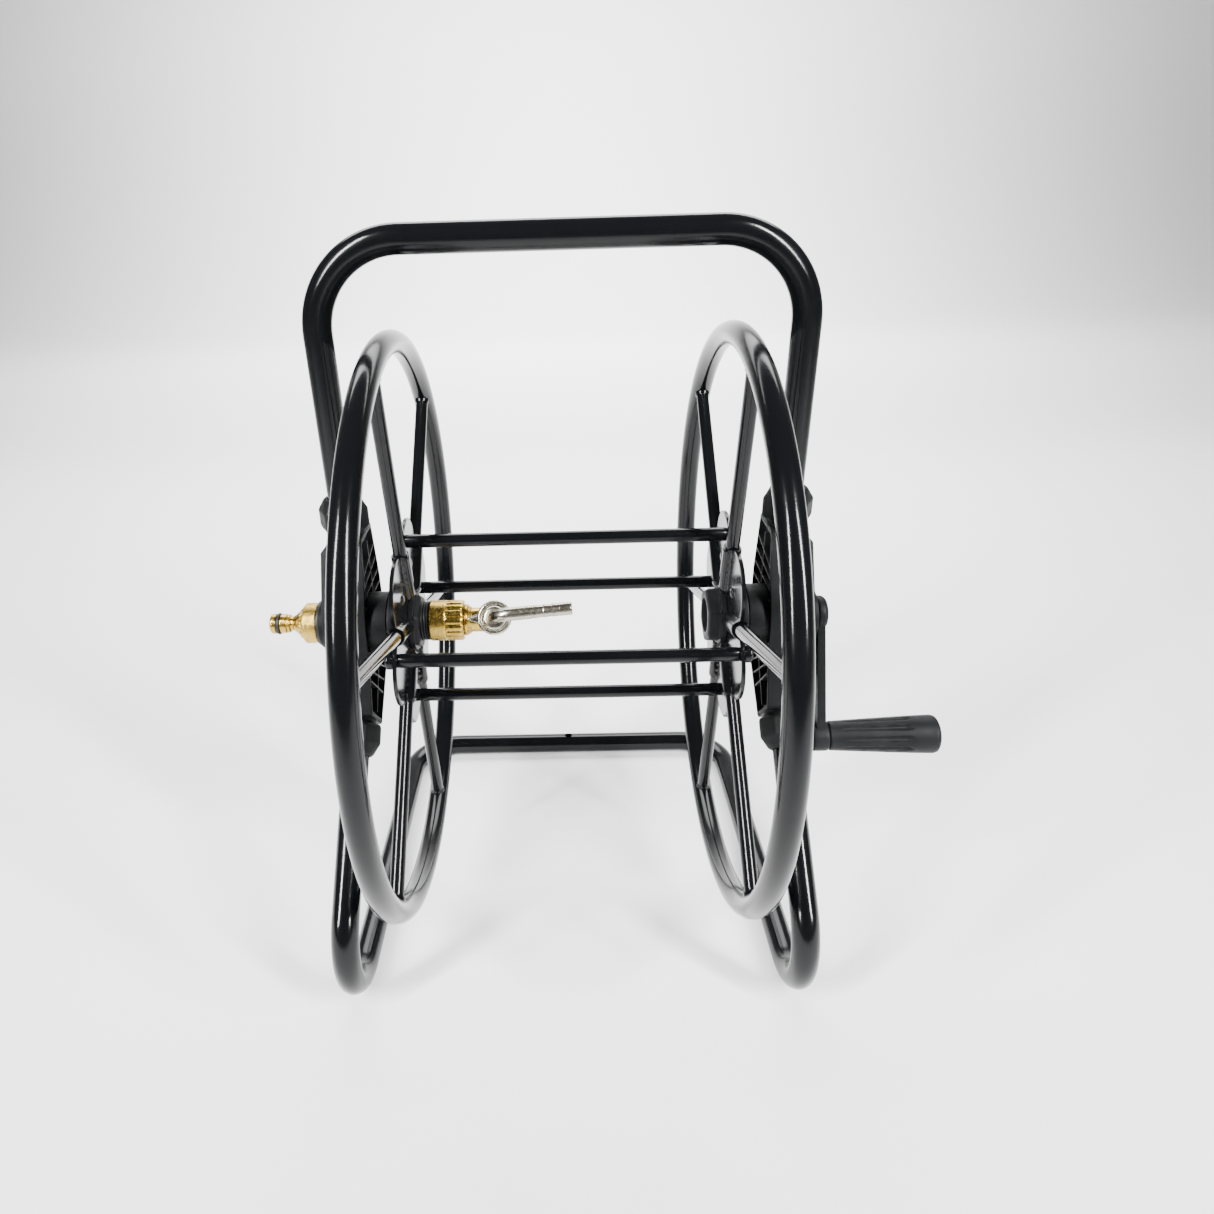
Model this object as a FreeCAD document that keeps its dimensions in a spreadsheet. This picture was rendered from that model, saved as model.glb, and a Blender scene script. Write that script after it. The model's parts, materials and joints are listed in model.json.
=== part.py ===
"""Garden hose reel on a bent-tube stand.

Two big tube rings with six spokes each and four cross rods make the drum.  The drum turns on
plastic journals in the two side brackets, which also clamp the handle tube to the floor loop.
Water enters through the brass spigot on the left, crosses the hub and leaves through the barbed
outlet inside the drum.  A crank with a free-turning grip drives the drum from the right.

Millimetres.  +Z is up, X lies along the axle (positive to the crank side), -Y is the front.
The origin is on the floor, straight below the middle of the axle.
"""
import FreeCAD, Part
import math
import os

import Sketcher

Vector = FreeCAD.Vector
Placement = FreeCAD.Placement
Rotation = FreeCAD.Rotation

doc = FreeCAD.newDocument("hose_reel")

# ---------------------------------------------------------------- driving dimensions
SIZES = [
    # the stand
    ("frame_tube_od", 20.0, "outside diameter of the bent stand tube"),
    ("frame_wall", 1.5, "wall of the stand tube"),
    ("frame_half_width", 164.0, "axle middle to the centre line of a side tube"),
    ("axle_height", 266.0, "floor to axle"),
    ("knee_back", 24.5, "bracket knee behind the axle"),
    ("knee_drop", 32.7, "bracket knee below the axle"),
    ("handle_lean", 4.9, "forward lean of the handle, degrees"),
    ("handle_rise", 305.8, "knee to the handle's top bar, along the tube"),
    ("handle_start", 62.0, "knee to the handle tube's end in its socket"),
    ("handle_bend", 60.0, "centre-line radius of the handle corners"),
    ("leg_rake", 43.0, "leg's angle from straight down, degrees"),
    ("leg_start", 30.0, "knee to the leg's end in its socket"),
    ("foot_bend", 45.0, "centre-line radius of the foot"),
    ("rear_bar_back", 220.0, "rear bar behind the axle"),
    ("rear_bend", 45.0, "centre-line radius of the rear corners"),
    ("run_joint", 100.0, "where the side runs meet the rear hoop"),
    ("peg_hole", 8.0, "hole through the rear bar for a ground peg"),
    # the side brackets
    ("bracket_inner", 147.5, "inner face at the axle"),
    ("bracket_outer", 179.5, "outer face"),
    ("bracket_half_depth", 18.5, "half depth of a bracket arm, front to back"),
    ("bracket_up", 101.0, "knee to the end of the upper arm"),
    ("bracket_down", 60.0, "knee to the end of the lower arm"),
    ("bracket_taper", 2.5, "how far the arms' inner ends step outwards"),
    ("boss_radius", 26.0, "how far the bracket reaches in front of the axle"),
    ("boss_neck", 23.0, "axle boss on the inner side"),
    ("boss_proud", 14.0, "boss beyond the inner face"),
    ("outer_boss_radius", 19.0, "boss on the outer side"),
    ("outer_boss_end", 185.0, "outer end of that boss"),
    ("rib_pocket", 3.0, "depth of the pockets between ribs"),
    ("rib_wall", 3.0, "wall left round the pockets"),
    ("rib_thickness", 2.5, "slanted rib between two pockets"),
    ("rib_pitch", 13.0, "from one rib to the next, along an arm"),
    ("rib_slant", 8.0, "how far a rib leans along an arm"),
    ("shank_bore", 11.0, "hole for the fittings through the outer face"),
    ("spigot_radius", 14.5, "threaded collar that takes a clamp nut"),
    ("spigot_length", 15.0, "length of the threaded collar"),
    ("socket_gap", 0.15, "clearance round a tube in its socket"),
    # clamp nuts and collets
    ("nut_across", 33.0, "across the flats"),
    ("nut_height", 24.0, "height"),
    ("nut_gap", 4.0, "bracket end to nut"),
    ("nut_chamfer", 3.0, "chamfer on a nut's corners"),
    ("collet_length", 8.0, "tapered grip ring"),
    ("collet_radius", 13.4, "outside radius of the grip ring"),
    # the drum
    ("rim_radius", 206.0, "centre-line radius of a side ring"),
    ("rim_tube_od", 17.0, "ring tube outside diameter"),
    ("rim_wall", 1.5, "ring tube wall"),
    ("rim_half_spacing", 119.0, "axle middle to a ring's middle plane"),
    ("spoke_od", 10.0, "spoke outside diameter"),
    ("spoke_wall", 1.2, "spoke wall"),
    ("spoke_start", 24.0, "axle to a spoke's inner end"),
    ("spoke_phase", 45.0, "angle of the first spoke above the rear, degrees"),
    ("plate_thickness", 1.5, "pressed hub plate"),
    ("plate_radius", 62.0, "hub plate radius at a spoke"),
    ("lobe_radius", 24.0, "rounded lobe between two spokes"),
    ("lobe_centre", 54.0, "axle to a lobe's centre"),
    ("channel_clear", 0.2, "channel over a spoke"),
    ("rivet_circle", 44.0, "axle to the rivets that join two plates"),
    ("rivet_radius", 2.5, "rivet shank"),
    ("rod_od", 10.0, "cross rod"),
    ("rod_wall", 1.5, "cross rod wall"),
    ("rod_circle", 64.5, "axle to a cross rod"),
    ("rod_thread", 6.0, "threaded end of a cross rod, diameter"),
    ("rod_nut_od", 12.0, "cap nut"),
    ("rod_nut_length", 6.0, "cap nut"),
    # the hub
    ("journal_radius", 16.95, "journal that turns in the bush"),
    ("journal_end", 158.0, "outer end of the journal"),
    ("bush_radius", 20.0, "outside of the bush"),
    ("bush_bore", 17.0, "bore of the bush"),
    ("bush_end", 157.0, "outer end of the bush"),
    ("hub_bore", 10.0, "water way through the journal"),
    ("hub_shoulder", 19.0, "shoulder against the outer plate"),
    ("hub_flange", 25.0, "thrust flange next to the bracket"),
    ("hub_flange_width", 3.5, "thickness of the thrust flange"),
    ("nut_flange", 4.0, "thickness of a hub nut's flange"),
    ("hub_neck", 16.0, "neck through the two plates"),
    ("hub_nut_radius", 22.0, "hub nut, across the corners"),
    ("hub_nut_face", 104.0, "inner face of the right hub nut"),
    ("hub_nut_short", 109.5, "inner face of the left hub nut"),
    ("hub_thread", 15.0, "hub thread"),
    ("outlet_thread", 12.5, "thread that takes the union nut"),
    ("outlet_thread_length", 8.0, "length of that thread"),
    # water fittings on the left
    ("union_radius", 15.5, "brass union nut"),
    ("union_end", 77.5, "inner end of the union nut"),
    ("outlet_neck", 61.0, "inner end of the brass neck"),
    ("swivel_x", 54.0, "swivel axis, from the axle's middle"),
    ("swivel_up", 30.0, "swivel's angle above the front, degrees"),
    ("ring_front", 12.0, "back of the swivel ring, out from the axle"),
    ("ring_radius", 13.0, "outside of the swivel ring"),
    ("ring_hole", 8.6, "hole of the swivel ring"),
    ("ring_thickness", 4.0, "thickness of the swivel ring"),
    ("tail_bend", 13.0, "centre-line radius of the tail's elbow"),
    ("tail_lift", 4.5, "tail's rise away from the axle's direction, degrees"),
    ("tail_length", 58.0, "swivel axis to the tip of the tail"),
    ("tail_radius", 4.6, "barbed tail"),
    ("tail_bore", 3.2, "water way in the tail"),
    ("swivel_radius", 6.8, "swivel tube"),
    ("barb_height", 0.9, "how far a barb stands out"),
    ("barb_length", 5.0, "length of a barb"),
    ("barb_pitch", 9.0, "from one barb to the next"),
    ("barb_count", 5.0, "number of barbs"),
    ("barb_nose", 3.0, "plain nose in front of the first barb"),
    ("inlet_body_radius", 15.5, "knurled brass body"),
    ("inlet_body_end", 199.0, "outer end of the knurled body"),
    ("inlet_tip", 225.5, "tip of the quick-connect spigot"),
    ("inlet_bore", 3.6, "water way in the spigot"),
    ("stem_radius", 9.5, "fixed water stem in the rotating hub"),
    # crank on the right
    ("crank_inner", 187.0, "inner face of the crank"),
    ("crank_outer", 193.0, "outer face of the crank boss"),
    ("crank_back", -18.5, "grip axis behind the axle"),
    ("crank_drop", 97.0, "grip axis below the axle"),
    ("crank_boss", 13.0, "crank boss on the axle"),
    ("crank_eye", 11.6, "crank eye that holds the grip"),
    ("crank_arm_out", 197.0, "outer face of the crank arm at the grip"),
    ("crank_arm_root", 9.5, "half width of the arm at the axle"),
    ("crank_arm_tip", 7.5, "half width of the arm at the grip"),
    ("grip_start", 200.0, "inner end of the grip"),
    ("grip_end", 283.0, "outer end of the grip"),
    ("grip_root", 11.4, "grip radius next to the crank"),
    ("grip_tip", 14.8, "grip radius at its end"),
    ("grip_bore", 4.05, "bore of the grip"),
    ("grip_pin", 4.0, "steel pin that the grip turns on"),
    ("flute_radius", 3.0, "cutter radius of a grip flute"),
    ("flute_start", 10.0, "grip's inner end to its flutes"),
    ("flute_length", 52.0, "length of a flute"),
]
sizes = doc.addObject("Spreadsheet::Sheet", "sizes")
for row, (alias, number, meaning) in enumerate(SIZES, start=1):
    sizes.set(f"A{row}", alias)
    sizes.set(f"B{row}", str(number))
    sizes.set(f"C{row}", meaning)
    sizes.setAlias(f"B{row}", alias)
doc.recompute()

PARTS = []


def bound(formula):
    """A formula in the sheet's words, written the way setExpression reads it."""
    text = str(formula)
    for alias, _, _ in sorted(SIZES, key=lambda entry: -len(entry[0])):
        text = text.replace(alias, "@" + alias[::-1] + "@")
    for alias, _, _ in SIZES:
        text = text.replace("@" + alias[::-1] + "@", "<<sizes>>." + alias)
    return text


def value(formula):
    """The number that a formula gives now."""
    return float(sizes.evalExpression(bound(formula)))


def keep(shape_object, label):
    """Label a finished sub-part and list it for export."""
    shape_object.Label = label
    PARTS.append(shape_object)
    return shape_object


def new_body(label, on_axle=False):
    body = doc.addObject("PartDesign::Body", label + "_body")
    if on_axle:
        body.setExpression("Placement.Base.z", bound("axle_height"))
    return keep(body, label)


def datum(body, role):
    return next(part for part in body.Origin.OriginFeatures if part.Role == role)


def sketch_on(body, name, role, offset="0"):
    """A sketch on one of the body's own origin planes, moved along that plane's normal."""
    sketch = body.newObject("Sketcher::SketchObject", name)
    sketch.AttachmentSupport = [(datum(body, role), "")]
    sketch.MapMode = "FlatFace"
    sketch.setExpression("AttachmentOffset.Base.z", bound(offset))
    return sketch


def pin_point(sketch, geometry, position, x, y, name):
    """Fix a point at two formulas measured from the sketch's origin."""
    for kind, formula in (("DistanceX", x), ("DistanceY", y)):
        number = sketch.addConstraint(
            Sketcher.Constraint(kind, -1, 1, geometry, position, value(formula)))
        label = name + kind[-1]
        sketch.renameConstraint(number, label)
        sketch.setExpression("Constraints." + label, bound(formula))


def circle(sketch, x, y, radius, name="circle"):
    centre = Vector(value(x), value(y), 0)
    geometry = sketch.addGeometry(Part.Circle(centre, Vector(0, 0, 1), value(radius)), False)
    pin_point(sketch, geometry, 3, x, y, name)
    number = sketch.addConstraint(Sketcher.Constraint("Radius", geometry, value(radius)))
    sketch.renameConstraint(number, name + "_radius")
    sketch.setExpression("Constraints." + name + "_radius", bound(radius))


def polygon(sketch, corners, name="corner"):
    """A closed outline of straight edges through corners given as formulas."""
    points = [Vector(value(x), value(y), 0) for x, y in corners]
    edges = [sketch.addGeometry(Part.LineSegment(here, there), False)
             for here, there in zip(points, points[1:] + points[:1])]
    for edge, after in zip(edges, edges[1:] + edges[:1]):
        sketch.addConstraint(Sketcher.Constraint("Coincident", edge, 2, after, 1))
    for edge, (x, y), index in zip(edges, corners, range(len(corners))):
        pin_point(sketch, edge, 1, x, y, f"{name}{index}")


def is_left_turn(start, centre, stop):
    return (start - centre).cross(stop - centre).z > 0


def arc_between(start, centre, stop):
    """The short arc from start to stop, stored counter-clockwise as the sketcher wants it."""
    if not is_left_turn(start, centre, stop):
        start, stop = stop, start
    begin = math.atan2(start.y - centre.y, start.x - centre.x)
    finish = math.atan2(stop.y - centre.y, stop.x - centre.x)
    if finish < begin:
        finish += 2 * math.pi
    ring = Part.Circle(centre, Vector(0, 0, 1), (start - centre).Length)
    return Part.ArcOfCircle(ring, begin, finish)


def bent_path(sketch, corners, radius):
    """Straight runs joined by tangent arcs of one radius, through corners given as formulas."""
    points = [Vector(value(x), value(y), 0) for x, y in corners]
    bend = value(radius)
    arcs = []
    for before, here, after in zip(points, points[1:], points[2:]):
        to_before = (before - here).normalize()
        to_after = (after - here).normalize()
        half = math.acos(to_before.dot(to_after)) / 2
        centre = here + (to_before + to_after).normalize() * (bend / math.sin(half))
        setback = bend / math.tan(half)
        arcs.append((here + to_before * setback, centre, here + to_after * setback))
    starts = points[:1] + [stop for _, _, stop in arcs]
    stops = [start for start, _, _ in arcs] + points[-1:]
    runs, bends = [], []
    for index, (start, stop) in enumerate(zip(starts, stops)):
        runs.append(sketch.addGeometry(Part.LineSegment(start, stop), False))
        if index < len(arcs):
            bends.append(sketch.addGeometry(arc_between(*arcs[index]), False))
    for index, arc in enumerate(bends):
        first = 1 if is_left_turn(*arcs[index]) else 2
        sketch.addConstraint(Sketcher.Constraint("Tangent", runs[index], 2, arc, first))
        sketch.addConstraint(Sketcher.Constraint("Tangent", arc, 3 - first, runs[index + 1], 1))
        number = sketch.addConstraint(Sketcher.Constraint("Radius", arc, bend))
        sketch.renameConstraint(number, f"bend{index}")
        sketch.setExpression(f"Constraints.bend{index}", bound(radius))
    pin_point(sketch, runs[0], 1, *corners[0], "first")
    pin_point(sketch, runs[-1], 2, *corners[-1], "last")
    for index in range(1, len(corners) - 1):
        marker = sketch.addGeometry(Part.Point(points[index]), True)
        sketch.addConstraint(Sketcher.Constraint("PointOnObject", marker, 1, runs[index - 1]))
        sketch.addConstraint(Sketcher.Constraint("PointOnObject", marker, 1, runs[index]))
        pin_point(sketch, marker, 1, *corners[index], f"corner{index}")


def feature(body, kind, name, **settings):
    item = body.newObject("PartDesign::" + kind, name)
    for key, setting in settings.items():
        setattr(item, key, setting)
    return item


def pad(body, sketch, length, name, reverse=False, middle=False):
    item = feature(body, "Pad", name, Profile=sketch, Reversed=reverse, Midplane=middle)
    item.setExpression("Length", bound(length))
    return item


def pocket(body, sketch, length, name, reverse=False, middle=False):
    item = feature(body, "Pocket", name, Profile=sketch, Reversed=reverse, Midplane=middle)
    item.setExpression("Length", bound(length))
    return item


def pipe(body, profile, path, name):
    return feature(body, "AdditivePipe", name, Profile=profile, Spine=path)


def turned(body, outline, name):
    """A revolution about the body's X axis of an outline given as (along, radius) formulas."""
    sketch = sketch_on(body, name + "_outline", "XZ_Plane")
    polygon(sketch, outline)
    item = feature(body, "Revolution", name, Profile=sketch, Angle=360)
    item.ReferenceAxis = (datum(body, "X_Axis"), [""])
    return item


def polar(body, original, count, name, axis="X_Axis"):
    item = feature(body, "PolarPattern", name, Originals=[original], Occurrences=count, Angle=360)
    item.Axis = (datum(body, axis), [""])
    body.Tip = item
    return item


def bind_all(item, **formulas):
    for key, formula in formulas.items():
        item.setExpression(key, bound(formula))
    return item


def cylinder(name, radius, height):
    return bind_all(doc.addObject("Part::Cylinder", name), Radius=radius, Height=height)


def rod_along_x(name, radius, start, length, back="0", rise="0"):
    """A cylinder along X that starts at a formula, at a place measured from the axle."""
    rod = cylinder(name, radius, length)
    rod.Placement.Rotation = Rotation(Vector(0, 1, 0), 90)
    rod.setExpression("Placement.Base.x", bound(start))
    rod.setExpression("Placement.Base.y", bound(back))
    rod.setExpression("Placement.Base.z", bound(f"axle_height + {rise}"))
    return rod


def axle_torus(name, along, ring_radius, tube_radius):
    """A ring round the axle at a place along it."""
    torus = bind_all(doc.addObject("Part::Torus", name), Radius1=ring_radius, Radius2=tube_radius)
    torus.Placement.Rotation = Rotation(Vector(0, 1, 0), 90)
    torus.setExpression("Placement.Base.x", bound(along))
    torus.setExpression("Placement.Base.z", bound("axle_height"))
    return torus


def cut(name, base, tool):
    item = doc.addObject("Part::Cut", name)
    item.Base, item.Tool = base, tool
    return item


def compound(name, links):
    item = doc.addObject("Part::Compound", name)
    item.Links = links
    return item


def side_name(side):
    return "left" if side < 0 else "right"


SIDES = (-1, 1)


# ---------------------------------------------------------------- the stand
def ring_profile(sketch, x, y, outer, wall):
    circle(sketch, x, y, outer, "outside")
    circle(sketch, x, y, f"{outer} - {wall}", "inside")


def handle_tube():
    """The upper hoop: two uprights and a top bar, all in one plane that leans forward."""
    body = new_body("handle_tube")
    path = sketch_on(body, "handle_path", "XZ_Plane")
    bent_path(path, [("-frame_half_width", "handle_start"), ("-frame_half_width", "handle_rise"),
                     ("frame_half_width", "handle_rise"), ("frame_half_width", "handle_start")],
              "handle_bend")
    section = sketch_on(body, "handle_section", "XY_Plane", "handle_start")
    ring_profile(section, "-frame_half_width", "0", "frame_tube_od / 2", "frame_wall")
    pipe(body, section, path, "handle_sweep")
    body.Placement.Rotation = Rotation(Vector(1, 0, 0), value("handle_lean"))
    body.setExpression("Placement.Base.y", bound("knee_back"))
    body.setExpression("Placement.Base.z", bound("axle_height - knee_drop"))


def base_tube():
    """The lower loop: raked legs, rounded feet, side runs on the floor and the rear bar."""
    body = new_body("base_tube")
    slope = "sin(leg_rake)"
    fall = "cos(leg_rake)"
    floor_line = "frame_tube_od / 2"
    reach = f"(axle_height - knee_drop - {floor_line}) * tan(leg_rake)"
    leg = sketch_on(body, "leg_path", "YZ_Plane", "-frame_half_width")
    bent_path(leg, [("run_joint", floor_line), (f"knee_back - {reach}", floor_line),
                    (f"knee_back - leg_start * {slope}",
                     f"axle_height - knee_drop - leg_start * {fall}")], "foot_bend")
    leg_section = sketch_on(body, "leg_section", "XZ_Plane", "-run_joint")
    ring_profile(leg_section, "-frame_half_width", floor_line, "frame_tube_od / 2", "frame_wall")
    left_leg = pipe(body, leg_section, leg, "left_leg")
    doc.recompute()
    both = feature(body, "Mirrored", "both_legs", Originals=[left_leg])
    both.MirrorPlane = (datum(body, "YZ_Plane"), [""])
    body.Tip = both
    doc.recompute()
    rear = sketch_on(body, "rear_path", "XY_Plane", floor_line)
    bent_path(rear, [("-frame_half_width", "run_joint"), ("-frame_half_width", "rear_bar_back"),
                     ("frame_half_width", "rear_bar_back"), ("frame_half_width", "run_joint")],
              "rear_bend")
    rear_section = sketch_on(body, "rear_section", "XZ_Plane", "-run_joint")
    ring_profile(rear_section, "-frame_half_width", floor_line, "frame_tube_od / 2", "frame_wall")
    pipe(body, rear_section, rear, "rear_hoop")
    doc.recompute()
    hole = sketch_on(body, "peg_hole_outline", "XY_Plane", floor_line)
    circle(hole, "0", "rear_bar_back", "peg_hole / 2")
    pocket(body, hole, "frame_tube_od * 2", "peg_hole_cut", middle=True)


def arm_frame(direction):
    """Where a bracket arm starts and how it is turned: +Z of the frame runs out of the socket."""
    knee = Vector(0, value("knee_back"), value("axle_height - knee_drop"))
    angle = value("handle_lean") if direction == "up" else 180 - value("leg_rake")
    return Placement(knee, Rotation(Vector(1, 0, 0), angle))


def arm_cylinder(body, kind, name, side, direction, radius, start, length):
    """An additive or subtractive cylinder on a bracket arm's tube axis."""
    item = body.newObject("PartDesign::" + kind + "Cylinder", name)
    item.AttachmentSupport = [(datum(body, "XY_Plane"), "")]
    item.MapMode = "FlatFace"
    bind_all(item, Radius=radius, Height=length)
    arm = arm_frame(direction)
    shift = Vector(side * value("frame_half_width"), 0, value(start))
    item.AttachmentOffset = Placement(arm.multVec(shift), arm.Rotation)
    return item


def bracket_outline():
    """The boomerang shape of a bracket from the side, as (back, up) formulas."""
    lean, rake = "handle_lean", "leg_rake"
    knee_up = "(axle_height - knee_drop)"

    def on_upper(along, across):
        return (f"knee_back - ({along}) * sin({lean}) + ({across}) * cos({lean})",
                f"{knee_up} + ({along}) * cos({lean}) + ({across}) * sin({lean})")

    def on_lower(along, across):
        return (f"knee_back - ({along}) * sin({rake}) + ({across}) * cos({rake})",
                f"{knee_up} - ({along}) * cos({rake}) - ({across}) * sin({rake})")

    deep = "bracket_half_depth"
    return [on_upper("bracket_up", f"-{deep}"), on_upper("bracket_up", deep),
            on_upper("0", deep), on_lower("0", deep), on_lower("bracket_down", deep),
            on_lower("bracket_down", f"-{deep}"), ("-boss_radius", "axle_height - boss_radius / 3"),
            ("-boss_radius", "axle_height + boss_radius / 2")]


def rib_pockets():
    """Slanted four-cornered pockets in both arms, as (back, up) outlines; ribs stand between them."""
    lean, rake = value("handle_lean"), value("leg_rake")
    knee = Vector(value("knee_back"), value("axle_height - knee_drop"), 0)
    half = value("bracket_half_depth - rib_wall")
    pitch, thickness, slant = value("rib_pitch"), value("rib_thickness"), value("rib_slant")
    arms = ((90 + lean, 68, 2), (270 - rake, 42, 1))
    outlines = []
    for turn, first, count in arms:
        along = Vector(math.cos(math.radians(turn)), math.sin(math.radians(turn)), 0)
        across = Vector(along.y, -along.x, 0)
        for number in range(count):
            start = first + number * pitch
            stop = start + pitch - thickness
            corners = [(start, -half), (stop, -half), (stop + slant, half), (start + slant, half)]
            outlines.append([knee + along * reach + across * step for reach, step in corners])
    return outlines


def bracket(side):
    """One moulded side bracket: two socket arms, an axle boss and a ribbed inner edge."""
    where = side_name(side)
    body = new_body(f"bracket_{where}")
    outline = sketch_on(body, "side_outline", "YZ_Plane", f"{side} * bracket_inner")
    polygon(outline, bracket_outline())
    pad(body, outline, "bracket_outer - bracket_inner", "arms", reverse=side < 0)
    taper = sketch_on(body, "taper_outline", "XZ_Plane")
    near, far = f"{side} * bracket_inner", f"{side} * (bracket_inner + bracket_taper)"
    clear = f"{side} * (bracket_inner - 5)"
    for name, start, stop in (("top", "axle_height + 28", "axle_height + 78"),
                              ("bottom", "axle_height - 28", "axle_height - 110")):
        polygon(taper, [(clear, start), (near, start), (far, stop), (clear, stop)], name)
    pocket(body, taper, "300", "taper", middle=True)
    doc.recompute()
    boss = sketch_on(body, "boss_outline", "YZ_Plane", f"{side} * (bracket_inner - boss_proud)")
    circle(boss, "0", "axle_height", "boss_neck")
    pad(body, boss, "boss_proud + 10", "boss", reverse=side < 0)
    outer_boss = sketch_on(body, "outer_boss_outline", "YZ_Plane", f"{side} * (bracket_outer - 5)")
    circle(outer_boss, "0", "axle_height", "outer_boss_radius")
    pad(body, outer_boss, "outer_boss_end - bracket_outer + 5", "outer_boss", reverse=side < 0)
    for direction, start in (("up", "bracket_up"), ("down", "bracket_down")):
        arm_cylinder(body, "Additive", f"thread_{direction}", side, direction,
                     "spigot_radius", f"{start} - 1", "spigot_length + 1")
    doc.recompute()
    ribs = sketch_on(body, "rib_outline", "YZ_Plane", f"{side} * (bracket_inner - 1)")
    for index, outline in enumerate(rib_pockets()):
        polygon(ribs, [(str(corner.x), str(corner.y)) for corner in outline], f"pocket{index}_")
    pocket(body, ribs, "rib_pocket + bracket_taper + 1", "rib_pockets", reverse=side > 0)
    doc.recompute()
    for direction, start, end in (("up", "handle_start", "bracket_up"),
                                  ("down", "leg_start", "bracket_down")):
        arm_cylinder(body, "Subtractive", f"socket_{direction}", side, direction,
                     "frame_tube_od / 2 + socket_gap", f"{start} - 1",
                     f"{end} - {start} + spigot_length + 2")
    before_boss = f"{side} * (bracket_inner - boss_proud - 1)"
    bore = sketch_on(body, "bush_bore_outline", "YZ_Plane", before_boss)
    circle(bore, "0", "axle_height", "bush_radius")
    pocket(body, bore, "bush_end + 3 - bracket_inner + boss_proud", "bush_seat", reverse=side > 0)
    through = sketch_on(body, "shank_outline", "YZ_Plane", f"{side} * (bracket_inner - 10)")
    circle(through, "0", "axle_height", "shank_bore")
    pocket(body, through, "outer_boss_end - bracket_inner + 20", "shank_bore", reverse=side > 0)
    doc.recompute()


def clamp_nut(side, direction):
    """A hexagonal plastic nut that squeezes its grip ring onto the tube."""
    body = new_body(f"clamp_nut_{'upper' if direction == 'up' else 'lower'}_{side_name(side)}")
    flat = "nut_across / 2"
    outline = sketch_on(body, "hexagon", "XY_Plane")
    polygon(outline, [(f"{flat} / cos(30) * cos({60 * k})", f"{flat} / cos(30) * sin({60 * k})")
                      for k in range(6)])
    pad(body, outline, "nut_height", "blank")
    doc.recompute()
    trim = sketch_on(body, "chamfer_outline", "XZ_Plane")
    corner = f"{flat} / cos(30) + 1"
    polygon(trim, [(f"{flat} - 1", "0"), (corner, "0"), (corner, "nut_chamfer")], "foot")
    polygon(trim, [(f"{flat} - nut_chamfer", "nut_height"), (corner, "nut_height - 2 * nut_chamfer"),
                   (corner, "nut_height")], "crown")
    groove = feature(body, "Groove", "chamfers", Profile=trim, Angle=360)
    groove.ReferenceAxis = (datum(body, "Z_Axis"), [""])
    doc.recompute()
    bores = (("thread", "spigot_radius + 0.2", "0", "spigot_length - nut_gap + 0.5"),
             ("grip_seat", "collet_radius + 0.2", "0", "spigot_length - nut_gap + collet_length + 1"),
             ("tube_hole", "frame_tube_od / 2 + socket_gap", "0", "nut_height + 1"))
    for name, radius, start, length in bores:
        hole = body.newObject("PartDesign::SubtractiveCylinder", name)
        hole.AttachmentSupport = [(datum(body, "XY_Plane"), "")]
        hole.MapMode = "FlatFace"
        hole.setExpression("AttachmentOffset.Base.z", bound(start))
        bind_all(hole, Radius=radius, Height=length)
    start = "bracket_up" if direction == "up" else "bracket_down"
    arm = arm_frame(direction)
    shift = Vector(side * value("frame_half_width"), 0, value(f"{start} + nut_gap"))
    body.Placement = Placement(arm.multVec(shift), arm.Rotation)


def grip_rings():
    """Four tapered rings, one in each clamp nut, that hold the tubes."""
    rings = []
    for side in SIDES:
        for direction, start in (("up", "bracket_up"), ("down", "bracket_down")):
            name = f"{direction}_{side_name(side)}"
            cone = bind_all(doc.addObject("Part::Cone", "ring_" + name), Radius1="collet_radius",
                            Radius2="collet_radius - 1.5", Height="collet_length")
            bore = cylinder("ring_bore_" + name, "frame_tube_od / 2 + 0.05", "collet_length")
            ring = cut("grip_ring_" + name, cone, bore)
            arm = arm_frame(direction)
            shift = Vector(side * value("frame_half_width"), 0,
                           value(f"{start} + spigot_length + 0.6"))
            ring.Placement = Placement(arm.multVec(shift), arm.Rotation)
            rings.append(ring)
    keep(compound("grip_ring_set", rings), "grip_rings")


# ---------------------------------------------------------------- the drum
def rim_torus(name, side, tube_radius):
    return axle_torus(name, f"{side} * rim_half_spacing", "rim_radius", tube_radius)


def rim(side):
    """A ring of tube, closed on itself."""
    where = side_name(side)
    outer = rim_torus(f"rim_outside_{where}", side, "rim_tube_od / 2")
    inner = rim_torus(f"rim_inside_{where}", side, "rim_tube_od / 2 - rim_wall")
    keep(cut(f"rim_ring_{where}", outer, inner), f"rim_{where}")


def spoke_cylinder(name, side, number, radius):
    spoke = cylinder(name, radius, "rim_radius - spoke_start")
    angle = 90 - value("spoke_phase") - 60 * number
    spoke.Placement = Placement(Vector(), Rotation(Vector(1, 0, 0), -angle)).multiply(
        Placement(Vector(0, 0, value("spoke_start")), Rotation()))
    spoke.Placement.Base += Vector(side * value("rim_half_spacing"), 0, value("axle_height"))
    return spoke


def spokes(side):
    """Six tube spokes, each trimmed to sit on the ring that it is welded to."""
    where = side_name(side)
    solid = [spoke_cylinder(f"spoke_{where}_{k}", side, k, "spoke_od / 2") for k in range(6)]
    hollow = [spoke_cylinder(f"spoke_bore_{where}_{k}", side, k, "spoke_od / 2 - spoke_wall")
              for k in range(6)]
    waste = compound(f"spoke_waste_{where}",
                     hollow + [rim_torus(f"spoke_trim_{where}", side, "rim_tube_od / 2")])
    keep(cut(f"spoke_cut_{where}", compound(f"spoke_blank_{where}", solid), waste),
         f"spokes_{where}")


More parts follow.
